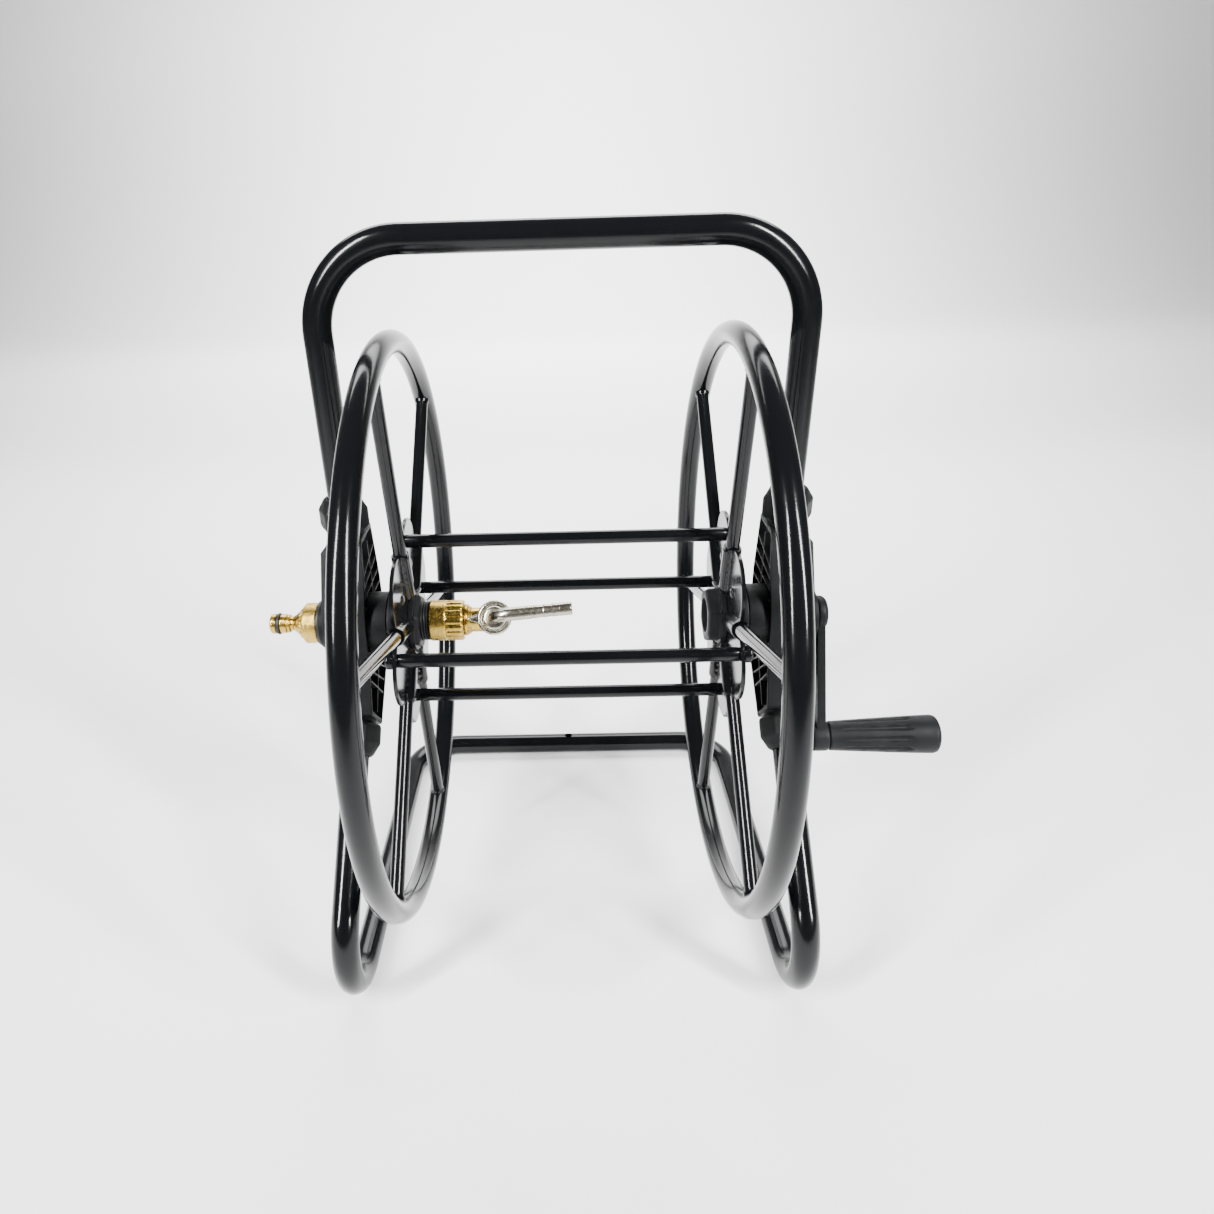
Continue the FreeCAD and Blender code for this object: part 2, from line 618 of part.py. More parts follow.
def spoke_channel(body, kind, name, side, radius, length):
    """A cylinder along the first spoke, added to or taken from the plate, then repeated six times."""
    turn = Rotation(Vector(1, 0, 0), value("spoke_phase") - 90)
    start = turn.multVec(Vector(0, 0, value("spoke_start - 1")))
    start.x = side * value("rim_half_spacing")
    item = body.newObject("PartDesign::" + kind + "Cylinder", name)
    item.AttachmentSupport = [(datum(body, "XY_Plane"), "")]
    item.MapMode = "FlatFace"
    bind_all(item, Radius=radius, Height=length)
    item.AttachmentOffset = Placement(start, turn)
    doc.recompute()
    polar(body, item, 6, name + "s")
    doc.recompute()


def hub_plate(side, face):
    """Half of a clamshell hub: a six-lobed pressed disc with a channel over every spoke."""
    where = side_name(side)
    outward = side if face == "outer" else -side
    body = new_body(f"hub_plate_{face}_{where}", on_axle=True)
    middle = f"{side} * rim_half_spacing"
    disc = sketch_on(body, "disc_outline", "YZ_Plane", middle)
    circle(disc, "0", "0", "plate_radius")
    pad(body, disc, "plate_thickness", "disc", reverse=outward < 0)
    lobe_angle = value("spoke_phase") + 30
    lobe = sketch_on(body, "lobe_outline", "YZ_Plane", middle)
    circle(lobe, f"lobe_centre * cos({lobe_angle})", f"lobe_centre * sin({lobe_angle})", "lobe_radius")
    first_lobe = pad(body, lobe, "plate_thickness", "lobe", reverse=outward < 0)
    doc.recompute()
    polar(body, first_lobe, 6, "lobes")
    doc.recompute()
    spoke_channel(body, "Additive", "ridge", side, "spoke_od / 2 + channel_clear + plate_thickness",
                  "plate_radius + 2 - spoke_start")
    spoke_channel(body, "Subtractive", "groove", side, "spoke_od / 2 + channel_clear",
                  "plate_radius + lobe_radius")
    far_half = sketch_on(body, "trim_outline", "YZ_Plane", middle)
    circle(far_half, "0", "0", "plate_radius * 2")
    pocket(body, far_half, "spoke_od * 2", "far_half", reverse=outward < 0)
    bore = sketch_on(body, "bore_outline", "YZ_Plane", middle)
    circle(bore, "0", "0", "hub_neck + 0.1")
    pocket(body, bore, "spoke_od * 4", "bore", middle=True)
    doc.recompute()
    holes = (("rivet_hole", "rivet_circle", lobe_angle, "rivet_radius + 0.05", 6),
             ("rod_hole", "rod_circle", 0, "rod_thread / 2 + 0.1", 4))
    for name, radius, angle, hole_radius, count in holes:
        outline = sketch_on(body, name + "_outline", "YZ_Plane", middle)
        circle(outline, f"{radius} * cos({angle})", f"{radius} * sin({angle})", hole_radius)
        hole = pocket(body, outline, "plate_thickness * 4", name, middle=True)
        doc.recompute()
        polar(body, hole, count, name + "s")
        doc.recompute()


def hub_rivets(side):
    """Six rivets with domed heads that hold the two hub plates together."""
    where = side_name(side)
    rivets = []
    ball_radius, dome_height = 4.25, 2.0
    for number in range(6):
        angle = math.radians(value("spoke_phase") + 30 + 60 * number)
        back = value("rivet_circle") * math.cos(angle)
        rise = value("rivet_circle") * math.sin(angle)
        sheet = value("plate_thickness")
        middle = side * value("rim_half_spacing")
        rivet = Part.makeCylinder(value("rivet_radius"), 2 * sheet, Vector(-sheet, 0, 0), Vector(1, 0, 0))
        for end in SIDES:
            ball = Part.makeSphere(ball_radius, Vector(end * (sheet + dome_height - ball_radius), 0, 0))
            near = sheet if end > 0 else -sheet - ball_radius
            slab = Part.makeBox(ball_radius, 2 * ball_radius, 2 * ball_radius,
                                Vector(near, -ball_radius, -ball_radius))
            rivet = rivet.fuse(ball.common(slab))
        rivet.translate(Vector(middle, back, rise + value("axle_height")))
        rivets.append(rivet)
    group = doc.addObject("Part::Feature", f"rivet_group_{where}")
    group.Shape = Part.makeCompound(rivets)
    keep(group, f"hub_rivets_{where}")


def rod_places():
    """The four cross rods: above, behind, below and in front of the axle."""
    return [(f"rod_circle * cos({90 * k})", f"rod_circle * sin({90 * k})") for k in range(4)]


def cross_rods():
    """Four tubes between the hub plates, each with a threaded stud through both ends."""
    inner = "rim_half_spacing - plate_thickness - 0.02"
    tubes, studs = [], []
    for number, (back, rise) in enumerate(rod_places()):
        outside = rod_along_x(f"rod_{number}", "rod_od / 2", f"-({inner})", f"2 * ({inner})",
                              back, rise)
        inside = rod_along_x(f"rod_bore_{number}", "rod_thread / 2 + 0.1", f"-({inner})",
                             f"2 * ({inner})", back, rise)
        tubes.append(cut(f"rod_tube_{number}", outside, inside))
        reach = "rim_half_spacing + plate_thickness + rod_nut_length - 1"
        studs.append(rod_along_x(f"stud_{number}", "rod_thread / 2", f"-({reach})", f"2 * ({reach})",
                                 back, rise))
    keep(compound("rod_set", tubes), "cross_rods")
    keep(compound("stud_set", studs), "tie_studs")


def cap_nuts():
    """Eight domed nuts on the ends of the tie studs."""
    nuts = []
    face = value("rim_half_spacing + plate_thickness + 0.02")
    length, radius, crown = value("rod_nut_length"), value("rod_nut_od / 2"), 0.9
    for side in SIDES:
        for back, rise in rod_places():
            nut = Part.makeCylinder(radius, length, Vector(0, 0, 0), Vector(1, 0, 0))
            far_edge = [edge for edge in nut.Edges if abs(edge.CenterOfMass.x - length) < 0.01]
            nut = nut.makeFillet(1.5, far_edge)
            hole = Part.makeCylinder(value("rod_thread / 2 + 0.05"), length - crown,
                                     Vector(0, 0, 0), Vector(1, 0, 0))
            nut = nut.cut(hole)
            if side < 0:
                nut.rotate(Vector(0, 0, 0), Vector(0, 0, 1), 180)
            nut.translate(Vector(side * face, value(back), value(f"axle_height + {rise}")))
            nuts.append(nut)
    group = doc.addObject("Part::Feature", "cap_nut_group")
    group.Shape = Part.makeCompound(nuts)
    keep(group, "cap_nuts")


# ---------------------------------------------------------------- the hubs
def bush(side):
    """A plain bush pressed into the bracket boss."""
    body = new_body(f"bush_{side_name(side)}", on_axle=True)
    start = "bracket_inner - boss_proud"
    turned(body, [(f"{side} * ({start})", "bush_bore"), (f"{side} * bush_end", "bush_bore"),
                  (f"{side} * bush_end", "bush_radius"), (f"{side} * ({start})", "bush_radius")],
           "bush")


def hub_journal(side):
    """Hollow journal: turns in the bush, shoulders on the outer plate, threads take the nuts."""
    where = side_name(side)
    body = new_body(f"hub_journal_{where}", on_axle=True)
    plate_out = "rim_half_spacing + plate_thickness"
    flange_out = "bracket_inner - boss_proud - 1"
    flange_in = f"{flange_out} - hub_flange_width"
    inner_end = "hub_nut_face - outlet_thread_length" if side < 0 else "hub_nut_face + 6"
    outline = [("journal_end", "hub_bore"), ("journal_end", "journal_radius"),
               (flange_out, "journal_radius"), (flange_out, "hub_flange"),
               (flange_in, "hub_flange"), (flange_in, "hub_shoulder"),
               (plate_out, "hub_shoulder"), (plate_out, "hub_neck"),
               ("rim_half_spacing - plate_thickness - 1", "hub_neck"),
               ("rim_half_spacing - plate_thickness - 1", "hub_thread"),
               ("hub_nut_face + 6" if side > 0 else "hub_nut_face", "hub_thread")]
    if side < 0:
        outline += [("hub_nut_face", "outlet_thread"), (inner_end, "outlet_thread")]
    outline += [(inner_end, "hub_bore")]
    turned(body, [(f"{side} * ({along})", radius) for along, radius in outline], "journal")


def hub_nut(side):
    """Six-sided flanged nut that clamps the hub plates to the journal."""
    body = new_body(f"hub_nut_{side_name(side)}", on_axle=True)
    plate_in = "(rim_half_spacing - plate_thickness)"
    face = "hub_nut_short" if side < 0 else "hub_nut_face"
    flange = sketch_on(body, "flange_outline", "YZ_Plane", f"{side} * {plate_in}")
    circle(flange, "0", "0", "hub_nut_radius")
    pad(body, flange, "nut_flange", "flange", reverse=side > 0)
    hexagon = sketch_on(body, "hexagon", "YZ_Plane", f"{side} * ({plate_in} - nut_flange)")
    polygon(hexagon, [(f"(hub_nut_radius - 0.5) * cos({60 * k + 15})",
                       f"(hub_nut_radius - 0.5) * sin({60 * k + 15})") for k in range(6)])
    pad(body, hexagon, f"{plate_in} - nut_flange - {face}", "hexagon_body", reverse=side > 0)
    doc.recompute()
    mouth = "outlet_thread + 0.5" if side > 0 else "hub_thread + 0.05"
    bores = [("neck_relief", "hub_neck + 0.1", f"{plate_in} - 1.2"),
             ("thread", "hub_thread + 0.05", "hub_nut_face + 5.5"),
             ("mouth", mouth, "hub_nut_face - 1")]
    for name, radius, end in bores:
        outline = sketch_on(body, name + "_outline", "YZ_Plane", f"{side} * ({plate_in} + 1)")
        circle(outline, "0", "0", radius)
        pocket(body, outline, f"{plate_in} + 1 - ({end})", name, reverse=side < 0)


# ---------------------------------------------------------------- water fittings
def fitting(label, outline):
    """A part turned about the axle on the left side, from (distance, radius) formulas."""
    body = new_body(label, on_axle=True)
    turned(body, [(f"-({along})", radius) for along, radius in outline], "turning")


def water_fittings():
    """Washer, brass spigot and fixed stem on the inlet side; union nut, washer and neck inside."""
    outer, washer_end = "outer_boss_end", "outer_boss_end + 2.5"
    fitting("inlet_washer", [
        (f"{outer} + 0.05", "10.4"), (f"{outer} + 0.05", "inlet_body_radius + 1.5"),
        (washer_end, "inlet_body_radius + 1.5"), (washer_end, "10.4")])
    fitting("inlet_connector", [
        ("168", "inlet_bore"), ("168", "10"), (washer_end, "10"),
        (washer_end, "inlet_body_radius"), ("inlet_body_end - 1", "inlet_body_radius"),
        ("inlet_body_end", "inlet_body_radius - 1"), ("inlet_body_end", "11.6"),
        ("inlet_body_end + 2.5", "11.6"), ("inlet_body_end + 3", "9.2"),
        ("inlet_body_end + 9", "5.2"), ("inlet_body_end + 11", "5.2"),
        ("inlet_body_end + 11.6", "7"), ("inlet_tip - 8", "7.3"), ("inlet_tip - 7.8", "5.6"),
        ("inlet_tip - 4.6", "5.6"), ("inlet_tip - 4.4", "7.6"), ("inlet_tip - 1.5", "7.6"),
        ("inlet_tip", "6.2"), ("inlet_tip", "inlet_bore")])
    fitting("water_stem", [
        ("126", "6"), ("126", "stem_radius"), ("128.5", "stem_radius"), ("128.5", "7.4"),
        ("131.1", "7.4"), ("131.1", "stem_radius"), ("138", "stem_radius"), ("138", "7.4"),
        ("140.6", "7.4"), ("140.6", "stem_radius"), ("161", "stem_radius"), ("161", "10.95"),
        ("183", "10.95"), ("183", "10.05"), ("167.9", "10.05"), ("167.9", "6")])
    rings = []
    for number, along in enumerate(("129.8", "139.3")):
        rings.append(axle_torus(f"stem_ring_{number}", f"-{along}", "8.7", "1.25"))
    keep(compound("stem_ring_set", rings), "stem_seals")
    keep(axle_torus("spigot_ring", "-(inlet_tip - 6.2)", "7", "1.3"), "spigot_seal")
    fitting("union_nut", [
        ("hub_nut_face - 0.5", "outlet_thread + 0.05"), ("hub_nut_face - 0.5", "union_radius"),
        ("union_end + 1", "union_radius"), ("union_end", "union_radius - 1"), ("union_end", "9.2"),
        ("union_end + 6", "9.2"), ("union_end + 6", "outlet_thread + 0.05")])
    fitting("union_washer", [
        ("hub_nut_face - 8.1", "7"), ("hub_nut_face - 8.1", "12"), ("hub_nut_face - 10.5", "12"),
        ("hub_nut_face - 10.5", "7")])
    fitting("outlet_neck", [
        ("hub_nut_face - 10.6", "6"), ("hub_nut_face - 10.6", "12"), ("union_end + 6.2", "12"),
        ("union_end + 6.2", "9"), ("union_end - 0.2", "9"), ("union_end - 0.2", "12"),
        ("union_end - 3", "12"), ("union_end - 5.5", "9.2"), ("outlet_neck", "9.2"),
        ("outlet_neck", "6")])


def swivel_frame():
    """Local -Y runs out of the swivel, towards the front and up; the origin is on the axle."""
    turn = Rotation(Vector(1, 0, 0), -value("swivel_up"))
    return Placement(Vector(-value("swivel_x"), 0, value("axle_height")), turn)


def swivel_ring():
    """A rounded steel ring with a small pointed locking tab."""
    front, thick = value("ring_front"), value("ring_thickness")
    outer, hole = value("ring_radius"), value("ring_hole")
    ring = Part.makeCylinder(outer, thick, Vector(0, -front, 0), Vector(0, -1, 0))
    ring = ring.cut(Part.makeCylinder(hole, thick, Vector(0, -front, 0), Vector(0, -1, 0)))
    round_edges = [edge for edge in ring.Edges if edge.Curve.TypeId == "Part::GeomCircle"]
    ring = ring.makeFillet(thick * 0.35, round_edges)
    tab_back, tab_root = -front - 0.8, -outer + 2
    tab_corners = [Vector(tab_root, tab_back, -3.8), Vector(tab_root, tab_back, 3.8),
                   Vector(-outer - 9, tab_back, -1)]
    outline = Part.makePolygon(tab_corners + tab_corners[:1])
    tab = Part.Face(outline).extrude(Vector(0, -1.8, 0))
    item = doc.addObject("Part::Feature", "swivel_ring_piece")
    item.Shape = ring.fuse(tab)
    item.Placement = swivel_frame()
    keep(item, "swivel_ring")


def outlet_tail():
    """Stainless outlet: a short swivel tube, an elbow and a barbed tail almost along the axle."""
    tail, bore, bend = value("tail_radius"), value("tail_bore"), value("tail_bend")
    front = value("ring_front + ring_thickness")
    reach = value("tail_length")
    out, along = Vector(0, -1, 0), Vector(1, 0, 0)
    elbow_start = Vector(0, -front, 0)
    elbow_axis = elbow_start + Vector(bend, 0, 0)
    run_start = elbow_axis + Vector(0, -bend, 0)

    def bent_tube(radius, extra):
        disc = Part.Face(Part.Wire(Part.makeCircle(radius, elbow_start, out)))
        elbow = disc.revolve(elbow_axis, Vector(0, 0, 1), 90)
        straight = Part.makeCylinder(radius, reach - bend + extra, run_start, along)
        rise = Part.makeCylinder(radius, front - 2, Vector(0, -2, 0), out)
        return [elbow, straight, rise]

    swivel = value("swivel_radius")
    flange = Part.makeCylinder(value("ring_hole") - 0.3, 3, Vector(0, 2 - front, 0), out)
    post = Part.makeCylinder(swivel, front + 2, Vector(0, swivel, 0), out)
    solid = post.fuse([flange] + bent_tube(tail, 0))
    barb_length = value("barb_length")
    for number in range(int(value("barb_count"))):
        start = reach - value("barb_nose") - barb_length - number * value("barb_pitch")
        solid = solid.fuse(Part.makeCone(tail + value("barb_height"), tail + 0.02, barb_length,
                                         Vector(start, run_start.y, 0), along))
    water_way = bent_tube(bore, 1)
    inlet = Part.makeCylinder(bore, 9, Vector(-9, 0, 0), along)
    item = doc.addObject("Part::Feature", "outlet_tail_piece")
    item.Shape = solid.cut(water_way[0].fuse(water_way[1:] + [inlet]))
    lifted = Placement(Vector(), Rotation(Vector(0, 1, 0), -value("tail_lift")))
    item.Placement = swivel_frame().multiply(lifted)
    keep(item, "outlet_tail")


# ---------------------------------------------------------------- crank
def crank_arm():
    """Moulded crank: a spindle in the right journal, a tapered arm and an eye for the grip."""
    body = new_body("crank_arm", on_axle=True)
    plane = "crank_inner"
    length = math.hypot(value("crank_back"), value("crank_drop"))
    across_back, across_up = value("crank_drop") / length, value("crank_back") / length

    def beside(share, width):
        """A corner beside the line from the axle to the grip, as (back, up) formulas."""
        return (f"crank_back * {share} + ({width}) * {across_back:.5f}",
                f"-crank_drop * {share} + ({width}) * {across_up:.5f}")

    arm = sketch_on(body, "arm_outline", "YZ_Plane", plane)
    polygon(arm, [beside(0, "-crank_arm_root"), beside(0, "crank_arm_root"),
                  beside(1, "crank_arm_tip"), beside(1, "-crank_arm_tip")])
    pad(body, arm, "crank_arm_out - crank_inner", "arm")
    slant = sketch_on(body, "slant_outline", "XZ_Plane")
    low = "-crank_drop - 8"
    polygon(slant, [("crank_outer - 0.5", "15"), ("crank_outer - 0.5", "-12"),
                    ("crank_arm_out", "-crank_drop"), ("crank_arm_out + 5", "-crank_drop"),
                    ("crank_arm_out + 5", "15")], "outer")
    polygon(slant, [("crank_inner - 1", "-14"), ("crank_inner - 1", low),
                    ("crank_inner + 3", low), ("crank_inner", "-14")], "inner")
    pocket(body, slant, "300", "slant", middle=True)
    doc.recompute()
    boss = sketch_on(body, "boss_outline", "YZ_Plane", plane)
    circle(boss, "0", "0", "crank_boss")
    pad(body, boss, "crank_outer - crank_inner", "boss")
    eye = sketch_on(body, "eye_outline", "YZ_Plane", plane)
    circle(eye, "crank_back", "-crank_drop", "crank_eye")
    pad(body, eye, "grip_start - 0.5 - crank_inner", "eye")
    spindle = sketch_on(body, "spindle_outline", "YZ_Plane", "hub_nut_face + 10")
    circle(spindle, "0", "0", "hub_bore - 0.02")
    pad(body, spindle, "crank_inner - hub_nut_face - 9", "spindle")
    doc.recompute()
    pin_hole = sketch_on(body, "pin_hole_outline", "YZ_Plane", plane)
    circle(pin_hole, "crank_back", "-crank_drop", "grip_pin + 0.01")
    pocket(body, pin_hole, "80", "pin_hole", middle=True)
    screw_hole = sketch_on(body, "screw_hole_outline", "YZ_Plane", "crank_outer")
    circle(screw_hole, "0", "0", "2.6")
    pocket(body, screw_hole, "40", "screw_hole")
    recess = sketch_on(body, "recess_outline", "YZ_Plane", "crank_outer + 1")
    circle(recess, "0", "0", "5.5")
    pocket(body, recess, "5", "screw_recess")
    doc.recompute()


def right_turning(label, outline, at_grip=False):
    """A part turned about the axle, or about the grip's own axis, on the right side."""
    body = new_body(label, on_axle=True)
    if at_grip:
        body.setExpression("Placement.Base.y", bound("crank_back"))
        body.setExpression("Placement.Base.z", bound("axle_height - crank_drop"))
    turned(body, outline, "turning")
    return body


def crank():
    """The crank arm, its screw and cap, and the free-turning grip on its pin."""
    crank_arm()
    right_turning("crank_screw", [
        ("crank_outer - 30", "0"), ("crank_outer - 30", "2.5"), ("crank_outer - 3.98", "2.5"),
        ("crank_outer - 3.98", "5"), ("crank_outer - 1.5", "5"), ("crank_outer - 0.8", "4"),
        ("crank_outer - 0.8", "0")])
    right_turning("crank_cap", [
        ("crank_outer + 0.02", "0"), ("crank_outer + 0.02", "11.5"),
        ("crank_outer + 0.6", "11.5"), ("crank_outer + 1.5", "10"), ("crank_outer + 1.5", "0")])
    right_turning("grip_pin", [
        ("crank_inner - 1.5", "0"), ("crank_inner - 1.5", "6.5"), ("crank_inner - 0.02", "6.5"),
        ("crank_inner - 0.02", "grip_pin"), ("grip_end - 4", "grip_pin"), ("grip_end - 4", "0")],
        at_grip=True)
    grip = right_turning("crank_grip", [
        ("grip_start", "grip_bore"), ("grip_start", "grip_root - 1"), ("grip_start + 1", "grip_root"),
        ("grip_end - 14", "grip_tip - 0.6"), ("grip_end - 3", "grip_tip"), ("grip_end", "grip_tip - 2"),
        ("grip_end", "7"), ("grip_end - 3.5", "7"), ("grip_end - 3.5", "grip_bore")], at_grip=True)
    doc.recompute()
    flute = grip.newObject("PartDesign::SubtractiveCylinder", "flute")
    flute.AttachmentSupport = [(datum(grip, "XY_Plane"), "")]
    flute.MapMode = "FlatFace"
    bind_all(flute, Radius="flute_radius", Height="flute_length")
    slope = math.degrees(math.atan2(value("grip_tip - grip_root"), value("grip_end - grip_start")))
    flute.AttachmentOffset = Placement(
        Vector(value("grip_start + flute_start"), 0, value("grip_root + flute_radius - 0.1")),
        Rotation(Vector(0, 1, 0), 90 - slope))
    doc.recompute()
    polar(grip, flute, 10, "flutes")
    doc.recompute()
    right_turning("grip_cap", [
        ("grip_end - 3.4", "0"), ("grip_end - 3.4", "6.95"), ("grip_end - 0.4", "6.95"),
        ("grip_end", "6.4"), ("grip_end", "0")], at_grip=True)


handle_tube()
base_tube()
for side in SIDES:
    bracket(side)
    bush(side)
    for direction in ("up", "down"):
        clamp_nut(side, direction)
    rim(side)
    spokes(side)
    for face in ("inner", "outer"):
        hub_plate(side, face)
    hub_rivets(side)
    hub_journal(side)
    hub_nut(side)
grip_rings()
cross_rods()
cap_nuts()
water_fittings()
swivel_ring()
outlet_tail()
crank()

doc.recompute()


# ---------------------------------------------------------------- checks and export
def check_model():
    """Stop if any object failed to compute or any sub-part has no valid solid."""
    failed = [entry.Name for entry in doc.Objects if {"Invalid", "Error"} & set(entry.State)]
    if failed:
        raise RuntimeError(f"these objects did not compute: {failed}")
    for part in PARTS:
        if part.Shape.isNull() or not part.Shape.isValid() or not part.Shape.Solids:
            raise RuntimeError(f"{part.Label} has no valid solid")


check_model()
os.makedirs("parts", exist_ok=True)
for part in PARTS:
    part.Shape.exportStep(f"parts/{part.Label}.step")
    print(part.Label, len(part.Shape.Solids), round(part.Shape.Volume))
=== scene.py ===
"""Looks for the garden hose reel: smooth tube, pressed plates, moulded brackets, brass and steel fittings.

Every size is in metres once it is in a mesh.  Outlines are written in millimetres and pass through mm().
"""
import json
import math

import bmesh
import bpy
import numpy as np
from bpy.props import FloatProperty, IntProperty, PointerProperty, StringProperty
from mathutils import Euler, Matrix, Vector


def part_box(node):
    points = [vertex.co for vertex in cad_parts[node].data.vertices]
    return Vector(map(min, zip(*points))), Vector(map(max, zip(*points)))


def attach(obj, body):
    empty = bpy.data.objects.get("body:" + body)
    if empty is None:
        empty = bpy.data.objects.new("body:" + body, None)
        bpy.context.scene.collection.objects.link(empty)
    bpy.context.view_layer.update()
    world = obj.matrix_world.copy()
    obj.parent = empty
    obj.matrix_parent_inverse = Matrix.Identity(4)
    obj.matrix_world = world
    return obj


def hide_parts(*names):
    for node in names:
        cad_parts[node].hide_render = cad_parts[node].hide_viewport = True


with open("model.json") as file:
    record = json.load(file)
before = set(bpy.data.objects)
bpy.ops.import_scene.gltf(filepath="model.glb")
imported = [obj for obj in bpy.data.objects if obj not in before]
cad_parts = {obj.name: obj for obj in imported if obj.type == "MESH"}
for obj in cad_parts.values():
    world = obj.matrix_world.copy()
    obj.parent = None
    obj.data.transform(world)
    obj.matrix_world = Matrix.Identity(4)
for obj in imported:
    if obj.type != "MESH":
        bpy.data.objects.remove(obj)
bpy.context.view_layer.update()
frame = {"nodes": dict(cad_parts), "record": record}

bl_info = {
    "name": "Hose Reel Looks",
    "version": (1, 0, 0),
    "blender": (4, 5, 0),
    "location": "3D View > Sidebar > Hose Reel",
    "description": "Builds the visible pieces of a garden hose reel round its CAD frame",
    "category": "Object",
}

SIDES = {"left": -1, "right": 1}
PAINTED = "black_powder_coated_steel"
MOULDED = "black_moulded_plastic"
BRASS = "brass"
STAINLESS = "stainless_steel"
RUBBER = "black_rubber"
ACETAL = "acetal"
ZINC = "zinc_plated_steel"

NOISE_ROUGHNESS = 0.55
FLOOR_GREY = (0.9, 0.9, 0.9, 1)
WORLD_STRENGTH = 0.14
SPOKES = 6
RODS = 4
HANDLE_FOOT = 0.062      # knee to the handle's end, inside the upper socket
LEG_HEAD = 0.030         # knee to the leg's end, inside the lower socket
TUBE_STEP = 0.030        # longest face along a bent tube
KNURL_STEP = 0.0004      # longest face along a knurled outline


# ---------------------------------------------------------------- places read from the frame
def middle_of(node):
    """Middle of a CAD node's box at rest."""
    low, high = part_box(node)
    return (low + high) / 2


RIM_LOW, RIM_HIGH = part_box("rim_right")
AXLE_HEIGHT = middle_of("rim_right").z
RIM_X = middle_of("rim_right").x
RIM_TUBE = (RIM_HIGH.x - RIM_LOW.x) / 2
RIM_RADIUS = (RIM_HIGH.z - RIM_LOW.z) / 2 - RIM_TUBE
GRIP_AXIS = middle_of("grip_cap")
AXLE = np.array([0, 0, AXLE_HEIGHT])


# ---------------------------------------------------------------- sizes and colours a user may change
class ReelSizes(bpy.types.PropertyGroup):
    """Sizes of the reel that the looks depend on."""
    frame_tube: FloatProperty(name="Stand tube", description="Radius of the bent stand tube",
                              default=0.010, unit="LENGTH")
    frame_half_width: FloatProperty(name="Stand half width", default=0.164, unit="LENGTH",
                                    description="Middle of the reel to a side tube's centre line")
    knee_back: FloatProperty(name="Knee back", description="Bracket knee behind the axle",
                             default=0.0245, unit="LENGTH")
    knee_drop: FloatProperty(name="Knee drop", description="Bracket knee below the axle",
                             default=0.0327, unit="LENGTH")
    handle_lean: FloatProperty(name="Handle lean", description="Forward lean of the handle",
                               default=math.radians(4.9), subtype="ANGLE")
    handle_rise: FloatProperty(name="Handle rise", description="Knee to the top bar along the tube",
                               default=0.3058, unit="LENGTH")
    handle_bend: FloatProperty(name="Handle bend", description="Centre-line radius of its corners",
                               default=0.060, unit="LENGTH")
    leg_rake: FloatProperty(name="Leg rake", description="Leg's angle from straight down",
                            default=math.radians(43), subtype="ANGLE")
    floor_bend: FloatProperty(name="Floor bends", default=0.045, unit="LENGTH",
                              description="Centre-line radius of the feet and the rear corners")
    rear_bar: FloatProperty(name="Rear bar", description="Rear bar behind the axle",
                            default=0.220, unit="LENGTH")
    peg_hole: FloatProperty(name="Peg hole", description="Radius of the hole in the rear bar",
                            default=0.004, unit="LENGTH")
    spoke_radius: FloatProperty(name="Spoke", description="Spoke radius", default=0.005, unit="LENGTH")
    spoke_phase: FloatProperty(name="Spoke phase", default=math.radians(45), subtype="ANGLE",
                               description="Angle of the first spoke above the rear")
    rod_radius: FloatProperty(name="Cross rod", description="Cross rod radius", default=0.005,
                              unit="LENGTH")
    rod_circle: FloatProperty(name="Rod circle", description="Axle to a cross rod", default=0.0645,
                              unit="LENGTH")
    tube_sides: IntProperty(name="Tube sides", description="Facets round a tube", default=40)


class ReelColours(bpy.types.PropertyGroup):
    """Base colours of the reel's materials, as sRGB hex."""
    powder_coat: StringProperty(name="Powder coat", description="Gloss black paint", default="08090B")
    moulded: StringProperty(name="Moulded plastic", description="Matte black plastic", default="0D0E0F")
    brass: StringProperty(name="Brass", description="Machined brass", default="C2A24E")
    brass_dark: StringProperty(name="Brass tarnish", description="Brass in its hollows", default="94742E")
    stainless: StringProperty(name="Stainless", description="Cast stainless steel", default="ABA597")
    rubber: StringProperty(name="Rubber", description="Seal rings", default="0B0B0C")
    acetal: StringProperty(name="Acetal", description="Bushes and grip rings", default="D9D8D0")
    zinc: StringProperty(name="Zinc plate", description="Studs, screws and pins", default="B4B8BD")


# ---------------------------------------------------------------- shape functions
def mm(values):
    """Millimetres to metres, for one number or an array."""
    return np.asarray(values, float) * 0.001


def rounded(outline, reach, steps=4, closed=False):
    """Each corner C becomes the curve (1-t)^2 A + 2t(1-t) C + t^2 B.

    A and B lie on the two edges at the reach, or at 0.45 of a shorter edge.
    """
    points = np.asarray(outline, float)
    before = np.roll(points, 1, axis=0)
    after = np.roll(points, -1, axis=0)
    to_before, to_after = before - points, after - points
    long_before = np.linalg.norm(to_before, axis=1, keepdims=True)
    long_after = np.linalg.norm(to_after, axis=1, keepdims=True)
    first = points + to_before * np.minimum(reach / np.maximum(long_before, 1e-9), 0.45)
    last = points + to_after * np.minimum(reach / np.maximum(long_after, 1e-9), 0.45)
    t = np.linspace(0, 1, steps)[None, :, None]
    curve = (1 - t) ** 2 * first[:, None] + 2 * t * (1 - t) * points[:, None] + t ** 2 * last[:, None]
    if closed:
        ring = curve.reshape(-1, points.shape[1])
        return np.vstack([ring, ring[:1]])
    return np.vstack([points[:1], curve[1:-1].reshape(-1, points.shape[1]), points[-1:]])


